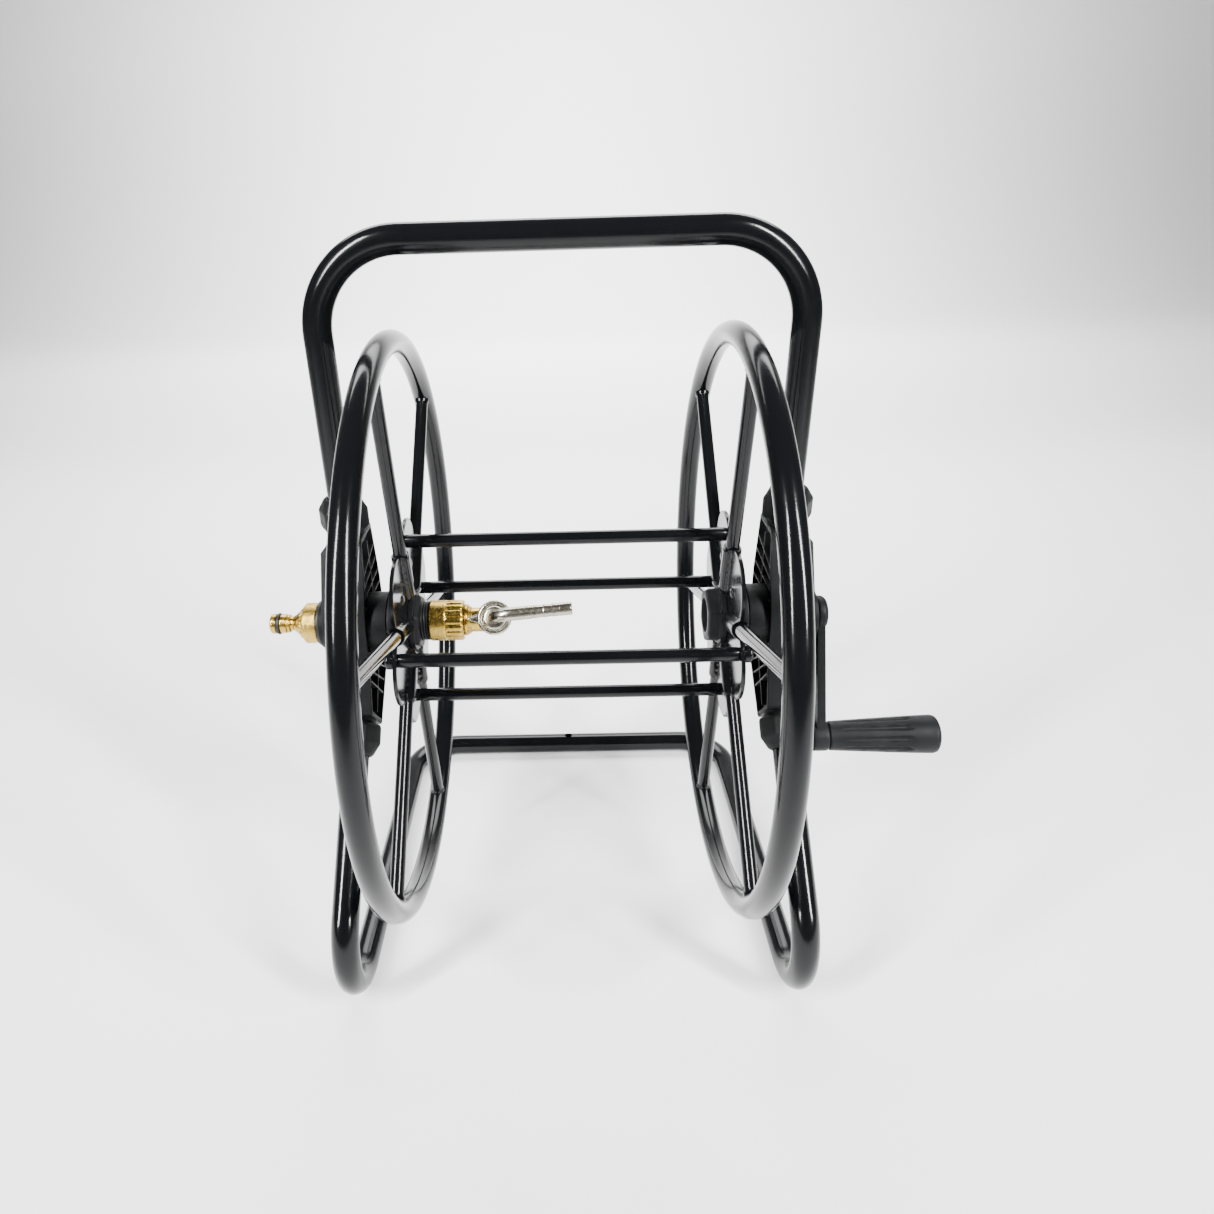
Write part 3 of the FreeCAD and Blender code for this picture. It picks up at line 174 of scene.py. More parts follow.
def refined(outline, step):
    """The same outline with extra points, no two further apart than the step."""
    points = np.asarray(outline, float)
    lengths = np.linalg.norm(np.diff(points, axis=0), axis=1)
    counts = np.maximum(np.ceil(lengths / step).astype(int), 1)
    parts = [a + (b - a) * np.linspace(0, 1, n, endpoint=False)[:, None]
             for a, b, n in zip(points, points[1:], counts)]
    return np.vstack(parts + [points[-1:]])


def bent_line(corners, bend, steps=14):
    """Straight runs joined by tangent arcs: centre = corner + bisector * bend / sin(half angle)."""
    corners = np.asarray(corners, float)
    parts = [corners[:1]]
    for before, here, after in zip(corners, corners[1:], corners[2:]):
        u = (before - here) / np.linalg.norm(before - here)
        v = (after - here) / np.linalg.norm(after - here)
        half = math.acos(float(u @ v)) / 2
        middle = (u + v) / np.linalg.norm(u + v)
        centre = here + middle * bend / math.sin(half)
        start = here + u * bend / math.tan(half) - centre
        across = v - u * (u @ v)
        across /= np.linalg.norm(across)
        turn = np.linspace(0, math.pi - 2 * half, steps)[:, None]
        parts.append(centre + start * np.cos(turn) - u * bend * np.sin(turn))
    parts.append(corners[-1:])
    return np.vstack(parts)


def tube(path, radius, sides, guide, closed=False, capped=True):
    """Circle carried along a path: P(s) + radius * (cos a * side + sin a * up).

    side = tangent x guide and up = side x tangent, both of length 1.
    """
    path = np.asarray(path, float)
    tangent = np.gradient(path, axis=0)
    if closed:
        tangent[[0, -1]] = path[1] - path[-2]
    tangent /= np.linalg.norm(tangent, axis=1, keepdims=True)
    side = np.cross(tangent, guide)
    side /= np.linalg.norm(side, axis=1, keepdims=True)
    up = np.cross(side, tangent)
    girth = np.broadcast_to(np.asarray(radius, float), (len(path),))
    if capped and not closed:
        ends = np.r_[0, np.arange(len(path)), len(path) - 1]
        path, side, up, girth = path[ends], side[ends], up[ends], girth[ends].copy()
        girth[[0, -1]] = 0
    a = np.linspace(0, 2 * math.pi, sides + 1)[None, :, None]
    return path[:, None] + girth[:, None, None] * (np.cos(a) * side[:, None] + np.sin(a) * up[:, None])


def turned(outline, sides=72, lift=None):
    """Revolution about X: (x, r) goes to (x, r' cos a, r' sin a), with r' = r + lift(x, a, r)."""
    x, r = np.asarray(outline, float).T[:, :, None]
    a = np.linspace(0, 2 * math.pi, sides + 1)[None]
    radius = r + lift(x, a, r) if lift else r + 0 * a
    return np.stack([x + 0 * a, radius * np.cos(a), radius * np.sin(a)], -1)


def closed_outline(outline):
    """A bored part's outline, with its first point repeated at the end."""
    points = np.asarray(outline, float)
    return np.vstack([points, points[:1]])


def aimed(points, origin, direction, guide=(1, 0, 0)):
    """Turn local X onto a direction, with local Y square to it and the guide, and move it."""
    x = np.asarray(direction, float) / np.linalg.norm(direction)
    y = np.cross(x, guide)
    y /= np.linalg.norm(y)
    z = np.cross(x, y)
    return points @ np.stack([x, y, z]) + np.asarray(origin, float)


def mirrored(points, side):
    """The left copy of a shape drawn on the right."""
    return points * np.array([side, 1, 1])


def hexagon_radius(a, across, softness=26):
    """Soft hexagon: across-flats over the softness-norm of cos(a - 60k), which rounds its corners."""
    faces = np.stack([np.abs(np.cos(a - k * math.pi / 3)) for k in range(3)])
    return across / 2 * (faces ** softness).sum(axis=0) ** (-1 / softness)


def helix(x, a, pitch):
    """Triangle wave from 0 to 1 that climbs one pitch for each turn."""
    phase = (x / pitch + a / (2 * math.pi)) % 1
    return 1 - np.abs(2 * phase - 1)


def axle_placed(grid):
    """Lift a shape drawn about X so that the axle is its axis."""
    return grid + AXLE


# ---------------------------------------------------------------- making an object
def piece(name, grids, slot, body, nodes=(), sharp=40):
    """One object from grids of points; each four neighbouring points make a face.

    Seams and poles are closed by merging, and the normals are made to face outwards.
    """
    points, faces, offset = [], [], 0
    for grid in grids:
        rows, columns = grid.shape[:2]
        index = np.arange(rows * columns).reshape(rows, columns) + offset
        quads = np.stack([index[:-1, :-1], index[1:, :-1], index[1:, 1:], index[:-1, 1:]], -1)
        points.append(grid.reshape(-1, 3))
        faces.append(quads.reshape(-1, 4))
        offset += rows * columns
    mesh = bpy.data.meshes.new(name)
    mesh.from_pydata(np.vstack(points).tolist(), [], np.vstack(faces).tolist())
    tidy = bmesh.new()
    tidy.from_mesh(mesh)
    bmesh.ops.remove_doubles(tidy, verts=tidy.verts, dist=2e-6)
    bmesh.ops.dissolve_degenerate(tidy, edges=tidy.edges, dist=1e-7)
    bmesh.ops.recalc_face_normals(tidy, faces=tidy.faces)
    tidy.to_mesh(mesh)
    tidy.free()
    mesh.shade_smooth()
    mesh.set_sharp_from_angle(angle=math.radians(sharp))
    made = bpy.data.objects.new(name, mesh)
    bpy.context.scene.collection.objects.link(made)
    mesh.materials.append(finish_of(slot))
    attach(made, body)
    if nodes:
        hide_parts(*nodes)
    return made


# ---------------------------------------------------------------- materials
def linear(code):
    """sRGB hex to linear RGBA."""
    channels = [int(code[k:k + 2], 16) / 255 for k in (0, 2, 4)]
    return tuple(c / 12.92 if c <= 0.04045 else ((c + 0.055) / 1.055) ** 2.4 for c in channels) + (1.0,)


def add(material, kind, links=(), **settings):
    """Add a node: settings fill its properties or sockets, links are (socket, source socket)."""
    node = material.node_tree.nodes.new("ShaderNode" + kind)
    for key, setting in settings.items():
        if hasattr(node, key):
            setattr(node, key, setting)
        else:
            node.inputs[key.replace("_", " ")].default_value = setting
    for socket, source in links:
        material.node_tree.links.new(source, node.inputs[socket])
    return node


def new_material(name, **settings):
    """A material and its Principled shader, with settings on the shader's own sockets."""
    material = bpy.data.materials.new(name)
    material.use_nodes = True
    shader = material.node_tree.nodes["Principled BSDF"]
    for key, setting in settings.items():
        shader.inputs[key.replace("_", " ")].default_value = setting
    return material, shader


def wire(material, source, target):
    """Link an output socket to an input socket."""
    material.node_tree.links.new(source, target)


def place_node(material, stretch=(1, 1, 1)):
    """Object coordinates in metres, stretched along an axis for brushed and drawn finishes."""
    coordinates = add(material, "TexCoord")
    return add(material, "Mapping", [("Vector", coordinates.outputs["Object"])],
               Scale=stretch).outputs["Vector"]


def noise(material, vector, grain, detail=3.0):
    """Noise whose blobs are about one grain across, in metres."""
    return add(material, "TexNoise", [("Vector", vector)], Scale=1 / grain, Detail=detail,
               Roughness=NOISE_ROUGHNESS).outputs["Fac"]


def ramp(material, source, low, high, start=0.3, stop=0.7):
    """Carry a 0 to 1 pattern onto a range of numbers."""
    node = add(material, "MapRange", [("Value", source)])
    for key, number in zip(("From Min", "From Max", "To Min", "To Max"), (start, stop, low, high)):
        node.inputs[key].default_value = number
    return node.outputs["Result"]


def bump(material, shader, height, depth):
    """Bump from a 0 to 1 height, as deep as depth in metres."""
    node = add(material, "Bump", [("Height", height)], Strength=1.0, Distance=depth)
    wire(material, node.outputs["Normal"], shader.inputs["Normal"])


def vary_roughness(material, shader, place, grain, low, high):
    """Let roughness wander between two values in patches of about one grain."""
    wire(material, ramp(material, noise(material, place, grain), low, high), shader.inputs["Roughness"])


def blend_colours(material, source, low, high):
    """Mix two colours by a 0 to 1 pattern."""
    node = add(material, "Mix", data_type="RGBA")
    colours = [socket for socket in node.inputs if socket.type == "RGBA"]
    colours[0].default_value, colours[1].default_value = low, high
    wire(material, source, node.inputs["Factor"])
    return next(socket for socket in node.outputs if socket.type == "RGBA")


def gloss_powder_coat(colours):
    """Gloss polyester powder coat on steel: deep black with a faint orange peel and soft streaks."""
    material, shader = new_material("gloss_powder_coat", Base_Color=linear(colours.powder_coat),
                                    Specular_IOR_Level=0.25)
    place = place_node(material)
    vary_roughness(material, shader, place, 0.030, 0.11, 0.19)
    bump(material, shader, noise(material, place, 0.0022, detail=2.0), 0.00003)
    return material


def moulded_plastic(colours):
    """Glass-filled polypropylene, moulded on a spark-eroded tool: matte with a fine grain."""
    material, shader = new_material("moulded_polypropylene", Specular_IOR_Level=0.12)
    place = place_node(material)
    wear = ramp(material, noise(material, place, 0.018), 0, 1)
    black = linear(colours.moulded)
    dusty = tuple(1.7 * channel for channel in black[:3]) + (1,)
    wire(material, blend_colours(material, wear, black, dusty), shader.inputs["Base Color"])
    vary_roughness(material, shader, place, 0.006, 0.42, 0.58)
    bump(material, shader, noise(material, place, 0.0007, detail=2.0), 0.00008)
    return material


def machined_brass(colours):
    """CZ121 brass from a lathe: warm metal with fine turning rings and darker hollows."""
    material, shader = new_material("machined_brass", Metallic=1.0)
    place = place_node(material)
    rings = place_node(material, stretch=(1, 0.02, 0.02))
    tarnish = ramp(material, noise(material, place, 0.012), 0, 0.7, 0.4, 0.9)
    wire(material, blend_colours(material, tarnish, linear(colours.brass), linear(colours.brass_dark)),
         shader.inputs["Base Color"])
    vary_roughness(material, shader, place, 0.0025, 0.2, 0.32)
    bump(material, shader, noise(material, rings, 0.0005, detail=1.0), 0.00001)
    return material


def cast_stainless(colours):
    """Tumbled investment-cast stainless steel: pale, satin, with a slight cast grain."""
    material, shader = new_material("cast_stainless_steel", Metallic=1.0,
                                    Base_Color=linear(colours.stainless))
    place = place_node(material)
    vary_roughness(material, shader, place, 0.003, 0.2, 0.3)
    bump(material, shader, noise(material, place, 0.0011, detail=2.0), 0.00001)
    return material


def seal_rubber(colours):
    """Moulded EPDM rubber: black, nearly matt, with a dusty bloom."""
    material, shader = new_material("epdm_rubber", Base_Color=linear(colours.rubber), IOR=1.5)
    place = place_node(material)
    vary_roughness(material, shader, place, 0.002, 0.35, 0.6)
    bump(material, shader, noise(material, place, 0.0006), 0.00003)
    return material


def turned_acetal(colours):
    """Natural acetal from a lathe: milky white with a waxy sheen."""
    material, shader = new_material("turned_acetal", Base_Color=linear(colours.acetal), IOR=1.48)
    place = place_node(material, stretch=(1, 0.05, 0.05))
    vary_roughness(material, shader, place, 0.001, 0.3, 0.42)
    return material


def zinc_plate(colours):
    """Bright zinc plate on steel: cool grey metal with a fine drawn grain."""
    material, shader = new_material("zinc_plated_steel", Metallic=1.0, Base_Color=linear(colours.zinc))
    place = place_node(material, stretch=(0.05, 1, 1))
    vary_roughness(material, shader, place, 0.0008, 0.25, 0.45)
    return material


FINISHES = {PAINTED: gloss_powder_coat, MOULDED: moulded_plastic, BRASS: machined_brass,
            STAINLESS: cast_stainless, RUBBER: seal_rubber, ACETAL: turned_acetal, ZINC: zinc_plate}
MADE_FINISHES = {}


def finish_of(slot):
    """The material of a record slot, made the first time it is asked for."""
    if slot not in MADE_FINISHES:
        MADE_FINISHES[slot] = FINISHES[slot](bpy.context.scene.reel_colours)
    return MADE_FINISHES[slot]


# ---------------------------------------------------------------- the stand
def knee_point(sizes, side):
    """Where the centre lines of the upper and the lower socket meet."""
    return np.array([side * sizes.frame_half_width, sizes.knee_back, AXLE_HEIGHT - sizes.knee_drop])


def arm_direction(sizes, direction):
    """Unit vector that runs out of a bracket's upper or lower socket."""
    if direction == "upper":
        return np.array([0, -math.sin(sizes.handle_lean), math.cos(sizes.handle_lean)])
    return np.array([0, -math.sin(sizes.leg_rake), -math.cos(sizes.leg_rake)])


class REEL_OT_handle(bpy.types.Operator):
    """Upper hoop of the stand"""
    bl_idname = "reel.handle"
    bl_label = "Handle Tube"

    def execute(self, context):
        sizes = context.scene.reel_sizes
        up = arm_direction(sizes, "upper")
        foot, top = HANDLE_FOOT * up, sizes.handle_rise * up
        corners = [knee_point(sizes, -1) + foot, knee_point(sizes, -1) + top,
                   knee_point(sizes, 1) + top, knee_point(sizes, 1) + foot]
        path = refined(bent_line(corners, sizes.handle_bend, steps=24), TUBE_STEP)
        normal = np.cross(up, (1, 0, 0))
        grid = tube(path, sizes.frame_tube, sizes.tube_sides, normal)
        piece("handle_hoop", [grid], PAINTED, "stand", ["handle_tube"])
        return {"FINISHED"}


class REEL_OT_base(bpy.types.Operator):
    """Lower loop of the stand: legs, feet, side runs and the drilled rear bar"""
    bl_idname = "reel.base"
    bl_label = "Base Tube"

    def execute(self, context):
        sizes = context.scene.reel_sizes
        down = arm_direction(sizes, "lower")
        fall = (AXLE_HEIGHT - sizes.knee_drop - sizes.frame_tube) / math.cos(sizes.leg_rake)
        corners = []
        for side in (-1, 1):
            knee = knee_point(sizes, side)
            rear = np.array([knee[0], sizes.rear_bar, sizes.frame_tube])
            corners.append([knee + LEG_HEAD * down, knee + fall * down, rear][::side * -1])
        path = bent_line(corners[0] + corners[1], sizes.floor_bend, steps=24)
        grid = tube(refined(path, TUBE_STEP), sizes.frame_tube, sizes.tube_sides, (1, -1, 1))
        loop = piece("floor_loop", [grid], PAINTED, "stand", ["base_tube"])
        self.drill(loop, sizes)
        return {"FINISHED"}

    def drill(self, loop, sizes):
        """Cut the peg hole through the rear bar."""
        ends = mm([(-20, 0), (-20, 1), (20, 1), (20, 0)])
        ends[:, 1] *= sizes.peg_hole / mm(1)
        drill = piece("drill", [aimed(turned(ends, 32), (0, sizes.rear_bar, sizes.frame_tube), (0, 0, 1))],
                      PAINTED, "stand")
        cutter = loop.modifiers.new("peg_hole", "BOOLEAN")
        cutter.object = drill
        cutter.solver = "EXACT"
        bpy.context.view_layer.update()
        cut_loop = bpy.data.meshes.new_from_object(loop.evaluated_get(bpy.context.evaluated_depsgraph_get()))
        loop.modifiers.clear()
        loop.data = cut_loop
        cut_loop.set_sharp_from_angle(angle=math.radians(40))
        bpy.data.objects.remove(drill)


# ---------------------------------------------------------------- brackets
class REEL_OT_brackets(bpy.types.Operator):
    """Two moulded side brackets, ribbed on the drum side"""
    bl_idname = "reel.brackets"
    bl_label = "Side Brackets"

    half_depth = 18.5
    arm_up, arm_down = 101.0, 60.0
    collar = 15.0
    outer_face = 179.5
    inner_wall = 147.5
    trough = 4.5
    side_wall, end_wall = 3.0, 3.5
    end_slope, end_reach = 8.0, 9.0

    def edges(self, sizes):
        """Front and back edge of the bracket as (back, height) curves of the same length."""
        back, height = sizes.knee_back * 1000, (AXLE_HEIGHT - sizes.knee_drop) * 1000
        knee = np.array([back, height])
        up = arm_direction(sizes, "upper")[1:]
        down = arm_direction(sizes, "lower")[1:]
        up_across = np.array([up[1], -up[0]])
        down_across = np.array([-down[1], down[0]])
        deep = self.half_depth
        axle = AXLE_HEIGHT * 1000
        front = [knee + up * self.arm_up - up_across * deep, (-26, axle + 13), (-26, axle - 9),
                 knee + down * self.arm_down - down_across * deep]
        rear = [knee + up * self.arm_up + up_across * deep, knee + up_across * deep,
                knee + down_across * deep, knee + down * self.arm_down + down_across * deep]
        return self.even(front), self.even(rear)

    def even(self, corners, count=97):
        """A rounded polyline at equal steps of its length."""
        line = refined(rounded(np.array(corners, float), 16, steps=9), 0.5)
        run = np.r_[0, np.cumsum(np.linalg.norm(np.diff(line, axis=0), axis=1))]
        even = np.linspace(0, run[-1], count)
        return np.stack([np.interp(even, run, line[:, k]) for k in (0, 1)], -1)

    def inner_face(self, height):
        """Inner face: flat beside the axle, tapering outwards along both arms."""
        rise = height - AXLE_HEIGHT * 1000
        upper = np.clip((rise - 28) / 50, 0, 1.4)
        lower = np.clip((-rise - 28) / 82, 0, 1.4)
        return self.inner_wall + 2.5 * (upper + lower)

    def shell(self, sizes):
        """C-shaped section carried from the upper arm's end to the lower one.

        At each station it spans from the front edge to the back edge.  The trough between its
        two walls closes at both ends, and the outer face slopes inwards there.
        """
        front, rear = self.edges(sizes)
        middle = (front + rear) / 2
        run = np.r_[0, np.cumsum(np.linalg.norm(np.diff(middle, axis=0), axis=1))]
        from_end = np.minimum(run, run[-1] - run)
        width = np.linalg.norm(rear - front, axis=1)
        stations = []
        for near, far, mid, wide, end in zip(front, rear, middle, width, from_end):
            inner = float(self.inner_face(mid[1]))
            outer = self.outer_face - self.end_slope * max(0, 1 - end / self.end_reach)
            deep = self.trough if end > self.end_wall else 0.02
            wall, foot = self.side_wall, self.side_wall + 0.6
            section = [(0, inner), (0, outer), (wide, outer), (wide, inner), (wide - wall, inner),
                       (wide - foot, inner + deep), (foot, inner + deep), (wall, inner)]
            ring = rounded(section, 1.0, steps=4, closed=True)
            squeeze = 1 - 0.05 * max(0, 1 - end / 1.5) ** 2
            centre = np.array([wide / 2, (inner + outer) / 2])
            ring = centre + (ring - centre) * squeeze
            share = ring[:, :1] / wide
            stations.append(np.hstack([ring[:, 1:], near + (far - near) * share]))
        grid = np.stack(stations)
        poles = grid.mean(axis=1, keepdims=True).repeat(grid.shape[1], axis=1)
        return mm(np.concatenate([poles[:1], grid, poles[-1:]]))

    def ribs(self, sizes):
        """Slanted ribs across the trough and one rib along its middle."""
        front, rear = self.edges(sizes)
        made = []
        count = len(front)
        starts = list(range(10, 44, 6)) + list(range(64, 86, 6))
        for start in starts:
            slant = 9 if start < 50 else -6
            a = rear[start] + (front[start] - rear[start]) * 0.06
            stop = min(max(start + slant, 0), count - 1)
            b = front[stop] + (rear[stop] - front[stop]) * 0.06
            made.append(self.rib(a, b))
        middle = (front + rear) / 2
        for start, stop in ((5, 44), (62, 90)):
            for a, b in zip(middle[start:stop:3], middle[start + 3:stop + 3:3]):
                made.append(self.rib(a, b))
        return made

    def rib(self, a, b, thick=1.7):
        """A thin wall from a to b, from the trough's floor to just under the rim."""
        along = (b - a) / np.linalg.norm(b - a)
        across = np.array([-along[1], along[0]]) * thick / 2
        ends = []
        for point, height in ((a, a[1]), (b, b[1])):
            inner = float(self.inner_face(height))
            low, high = inner + self.trough + 0.3, inner + 0.1
            ends.append([(low, *(point + across)), (high, *(point + across * 0.7)),
                         (high, *(point - across * 0.7)), (low, *(point - across)),
                         (low, *(point + across))])
        ends = [[ends[0][0]] * 5] + ends + [[ends[1][0]] * 5]
        return mm(ends)

    def boss(self):
        """Axle boss with its bore, a ring of revolution."""
        outline = rounded([(133.5, 20), (133.5, 23), (152, 23), (152, 20)], 0.8, closed=True)
        return axle_placed(turned(mm(outline), 96))

    def outer_disc(self):
        """Shallow ring on the outer face where the water fitting or the crank sits."""
        outline = rounded([(175, 11), (175, 19), (185, 19), (185, 11)], 0.8, closed=True)
        return axle_placed(turned(mm(outline), 72))

    def collars(self, sizes, side):
        """Threaded collars: radius 14.5 less a triangle wave that climbs 2.5 mm a turn."""
        made = []
        for name, start in (("upper", self.arm_up), ("lower", self.arm_down)):
            outline = refined(mm([(start - 1, 10.1), (start - 1, 14.5), (start + self.collar, 14.5),
                                  (start + self.collar, 10.1)]), 0.0004)

            def thread(x, a, r):
                """Cut a wave 0.9 mm deep into the outside."""
                return -mm(0.9) * helix(x, a, mm(2.5)) * (r > mm(14.4))

            grid = turned(closed_outline(outline), 64, thread)
            made.append(aimed(grid, knee_point(sizes, side), arm_direction(sizes, name)))
        return made

    def execute(self, context):
        sizes = context.scene.reel_sizes
        for name, side in SIDES.items():
            right = [self.shell(sizes), self.boss(), self.outer_disc()] + self.ribs(sizes)
            grids = [mirrored(grid, side) for grid in right] + self.collars(sizes, side)
            piece(f"side_bracket_{name}", grids, MOULDED, "stand", [f"bracket_{name}"], sharp=32)
        return {"FINISHED"}


class REEL_OT_clamp_nuts(bpy.types.Operator):
    """Four moulded clamp nuts that lock the stand tubes into the brackets"""
    bl_idname = "reel.clamp_nuts"
    bl_label = "Clamp Nuts"

    def execute(self, context):
        sizes = context.scene.reel_sizes
        outline = refined(rounded([(0, 15), (0, 15.4), (2.2, 16.4), (15, 16.4), (22.6, 13.4), (24, 11.6),
                                   (24, 10.3), (0, 10.3)], 1.2, steps=5), 0.8)
        outline = mm(closed_outline(outline))

        def six_sided(x, a, r):
            """Grow the round outline to a soft hexagon; the crown stays rounder."""
            crown = np.clip((mm(24) - x) / mm(9), 0, 1)
            hexagon = hexagon_radius(a, 2 * r, 18) - r
            return hexagon * crown * (r > mm(10.6)) * 1.05

        for side_name, side in SIDES.items():
            for level, start in (("upper", 105.0), ("lower", 64.0)):
                direction = arm_direction(sizes, level)
                origin = knee_point(sizes, side) + direction * mm(start)
                grid = aimed(turned(outline, 96, six_sided), origin, direction)
                piece(f"tube_nut_{level}_{side_name}", [grid], MOULDED, "stand",
                      [f"clamp_nut_{level}_{side_name}"], sharp=50)
        return {"FINISHED"}


# ---------------------------------------------------------------- the drum
class REEL_OT_rims(bpy.types.Operator):
    """Two closed rings of tube"""
    bl_idname = "reel.rims"
    bl_label = "Rims"

    def execute(self, context):
        turn = np.linspace(0, 2 * math.pi, 241)
        for name, side in SIDES.items():
            path = np.stack([0 * turn + side * RIM_X, RIM_RADIUS * np.cos(turn),
                             AXLE_HEIGHT + RIM_RADIUS * np.sin(turn)], -1)
            grid = tube(path, RIM_TUBE, context.scene.reel_sizes.tube_sides, (1, 0, 0), closed=True)
            piece(f"ring_{name}", [grid], PAINTED, "drum", [f"rim_{name}"])
        return {"FINISHED"}


def around_axle(angle, radius, x):
    """Point at a radius from the axle, at an angle above the rear."""
    return np.array([x, radius * math.cos(angle), AXLE_HEIGHT + radius * math.sin(angle)])


class REEL_OT_spokes(bpy.types.Operator):
    """Six spokes on each side, each with a small weld where it meets its ring"""
    bl_idname = "reel.spokes"
    bl_label = "Spokes"

    def execute(self, context):
        sizes = context.scene.reel_sizes
        for name, side in SIDES.items():
            grids = []
            for number in range(SPOKES):
                angle = sizes.spoke_phase + number * 2 * math.pi / SPOKES
                reach = np.r_[mm(24), np.linspace(mm(30), RIM_RADIUS - mm(12), 8),
                              RIM_RADIUS - RIM_TUBE - mm([2.0, 1.0, 0.2]), RIM_RADIUS - mm(5)]
                girth = np.full(len(reach), sizes.spoke_radius)
                girth[-4:] += mm([0.0, 0.25, 0.9, 0.9])
                path = np.stack([around_axle(angle, r, side * RIM_X) for r in reach])
                grids.append(tube(path, girth, 28, (1, 0, 0)))
            piece(f"spoke_set_{name}", grids, PAINTED, "drum", [f"spokes_{name}"])
        return {"FINISHED"}


class REEL_OT_hub_plates(bpy.types.Operator):
    """Pressed clamshell plates with six lobes and a channel over every spoke"""
    bl_idname = "reel.hub_plates"
    bl_label = "Hub Plates"

    lobe_centre, lobe_radius, disc_radius = 54.0, 24.0, 62.0
    sheet = 1.5

    def edge(self, a):
        """Distance from the axle to the plate's edge at an angle from a spoke.

        A lobe's edge is c cos d + sqrt(r^2 - c^2 sin^2 d) at d from the lobe's middle, and the
        disc fills in where that is less.
        """
        d = (a % (math.pi / 3)) - math.pi / 6
        inside = np.maximum(self.lobe_radius ** 2 - (self.lobe_centre * np.sin(d)) ** 2, 0)
        lobe = self.lobe_centre * np.cos(d) + np.sqrt(inside)
        lobe = np.where(inside > 0, lobe, 0)
        sharpness = 10
        return (lobe ** sharpness + self.disc_radius ** sharpness) ** (1 / sharpness)

    def channel(self, r, a, spoke):
        """Height of a half tube of the given radius over the nearest spoke, past its inner end."""
        d = (a + math.pi / 6) % (math.pi / 3) - math.pi / 6
        across = r * np.sin(d)
        height = np.sqrt(np.maximum(spoke ** 2 - across ** 2, 0))
        inner_end = np.clip((r - 22) / 4, 0, 1)
        return height * np.sqrt(inner_end)

    def plate(self, sizes):
        """Two heights on one polar grid, joined round the edge and the bore.

        Outer height = soft maximum of the sheet and the channel; inner height = the channel alone.
        """
        a = np.linspace(0, 2 * math.pi, 361)[None]
        share = np.r_[np.linspace(0, 0.93, 30), 0.965, 0.985, 1.0][:, None]
        bore = 16.1
        r = bore + share * (self.edge(a) - bore)
        spoke = sizes.spoke_radius * 1000 + 0.2
        hollow = self.channel(r, a, spoke)
        rise = self.channel(r, a, spoke + self.sheet)
        power = 6
        outside = (self.sheet ** power + rise ** power) ** (1 / power)
        from_edge = self.edge(a) - r
        outside = outside - 0.5 * np.clip(1 - from_edge / 1.2, 0, 1) ** 2
        angle = a + sizes.spoke_phase
        top = np.stack([outside, r * np.cos(angle), r * np.sin(angle)], -1)
        bottom = np.stack([hollow, r * np.cos(angle), r * np.sin(angle)], -1)
        return mm(np.concatenate([top, bottom[::-1], top[:1]]))

    def execute(self, context):
        sizes = context.scene.reel_sizes
        for name, side in SIDES.items():
            for face, outward in (("outer", side), ("inner", -side)):
                grid = mirrored(self.plate(sizes), outward) + np.array([side * RIM_X, 0, AXLE_HEIGHT])
                piece(f"plate_{face}_{name}", [grid], PAINTED, "drum", [f"hub_plate_{face}_{name}"],
                      sharp=45)
        return {"FINISHED"}


class REEL_OT_rivets(bpy.types.Operator):
    """Domed rivets that hold each pair of plates together"""
    bl_idname = "reel.rivets"
    bl_label = "Hub Rivets"

    def execute(self, context):
        sizes = context.scene.reel_sizes
        t = np.linspace(0, math.pi / 2, 9)
        dome = np.stack([1.5 + 1.6 * np.cos(t), 3.9 * np.sin(t)], -1)
        head = mm(np.vstack([dome, [(1.5, 2.4), (0, 2.4), (0, 0)]]))
        for name, side in SIDES.items():
            grids = []
            for number in range(SPOKES):
                angle = sizes.spoke_phase + (number + 0.5) * 2 * math.pi / SPOKES
                place = around_axle(angle, mm(44), side * RIM_X)
                grids += [mirrored(turned(head, 24), end) + place for end in (-1, 1)]
            piece(f"rivet_set_{name}", grids, PAINTED, "drum", [f"hub_rivets_{name}"])
        return {"FINISHED"}


class REEL_OT_rods(bpy.types.Operator):
    """Four cross rods and the domed nuts outside"""
    bl_idname = "reel.rods"
    bl_label = "Cross Rods"

    def execute(self, context):
        sizes = context.scene.reel_sizes
        rod_end = RIM_X - mm(1.6)
        nut = mm(rounded([(1.52, 0), (1.52, 6), (6.4, 6), (7.5, 4.4), (7.5, 0)], 0.9, steps=5))
        rods, nuts = [], []
        for number in range(RODS):
            place = around_axle(number * 2 * math.pi / RODS, sizes.rod_circle, 0)
            x = np.r_[-rod_end, np.linspace(-rod_end + mm(1), rod_end - mm(1), 12), rod_end]
            girth = np.full(len(x), sizes.rod_radius)
            girth[[0, -1]] -= mm(0.3)
            path = place + np.stack([x, 0 * x, 0 * x], -1)
            rods.append(tube(path, girth, 32, (0, 0, 1)))
            for side in SIDES.values():
                nuts.append(mirrored(turned(nut, 32), side) + place + np.array([side * RIM_X, 0, 0]))
        piece("rod_tubes", rods, PAINTED, "drum", ["cross_rods"])
        piece("rod_nuts", nuts, PAINTED, "drum", ["cap_nuts"])
        return {"FINISHED"}


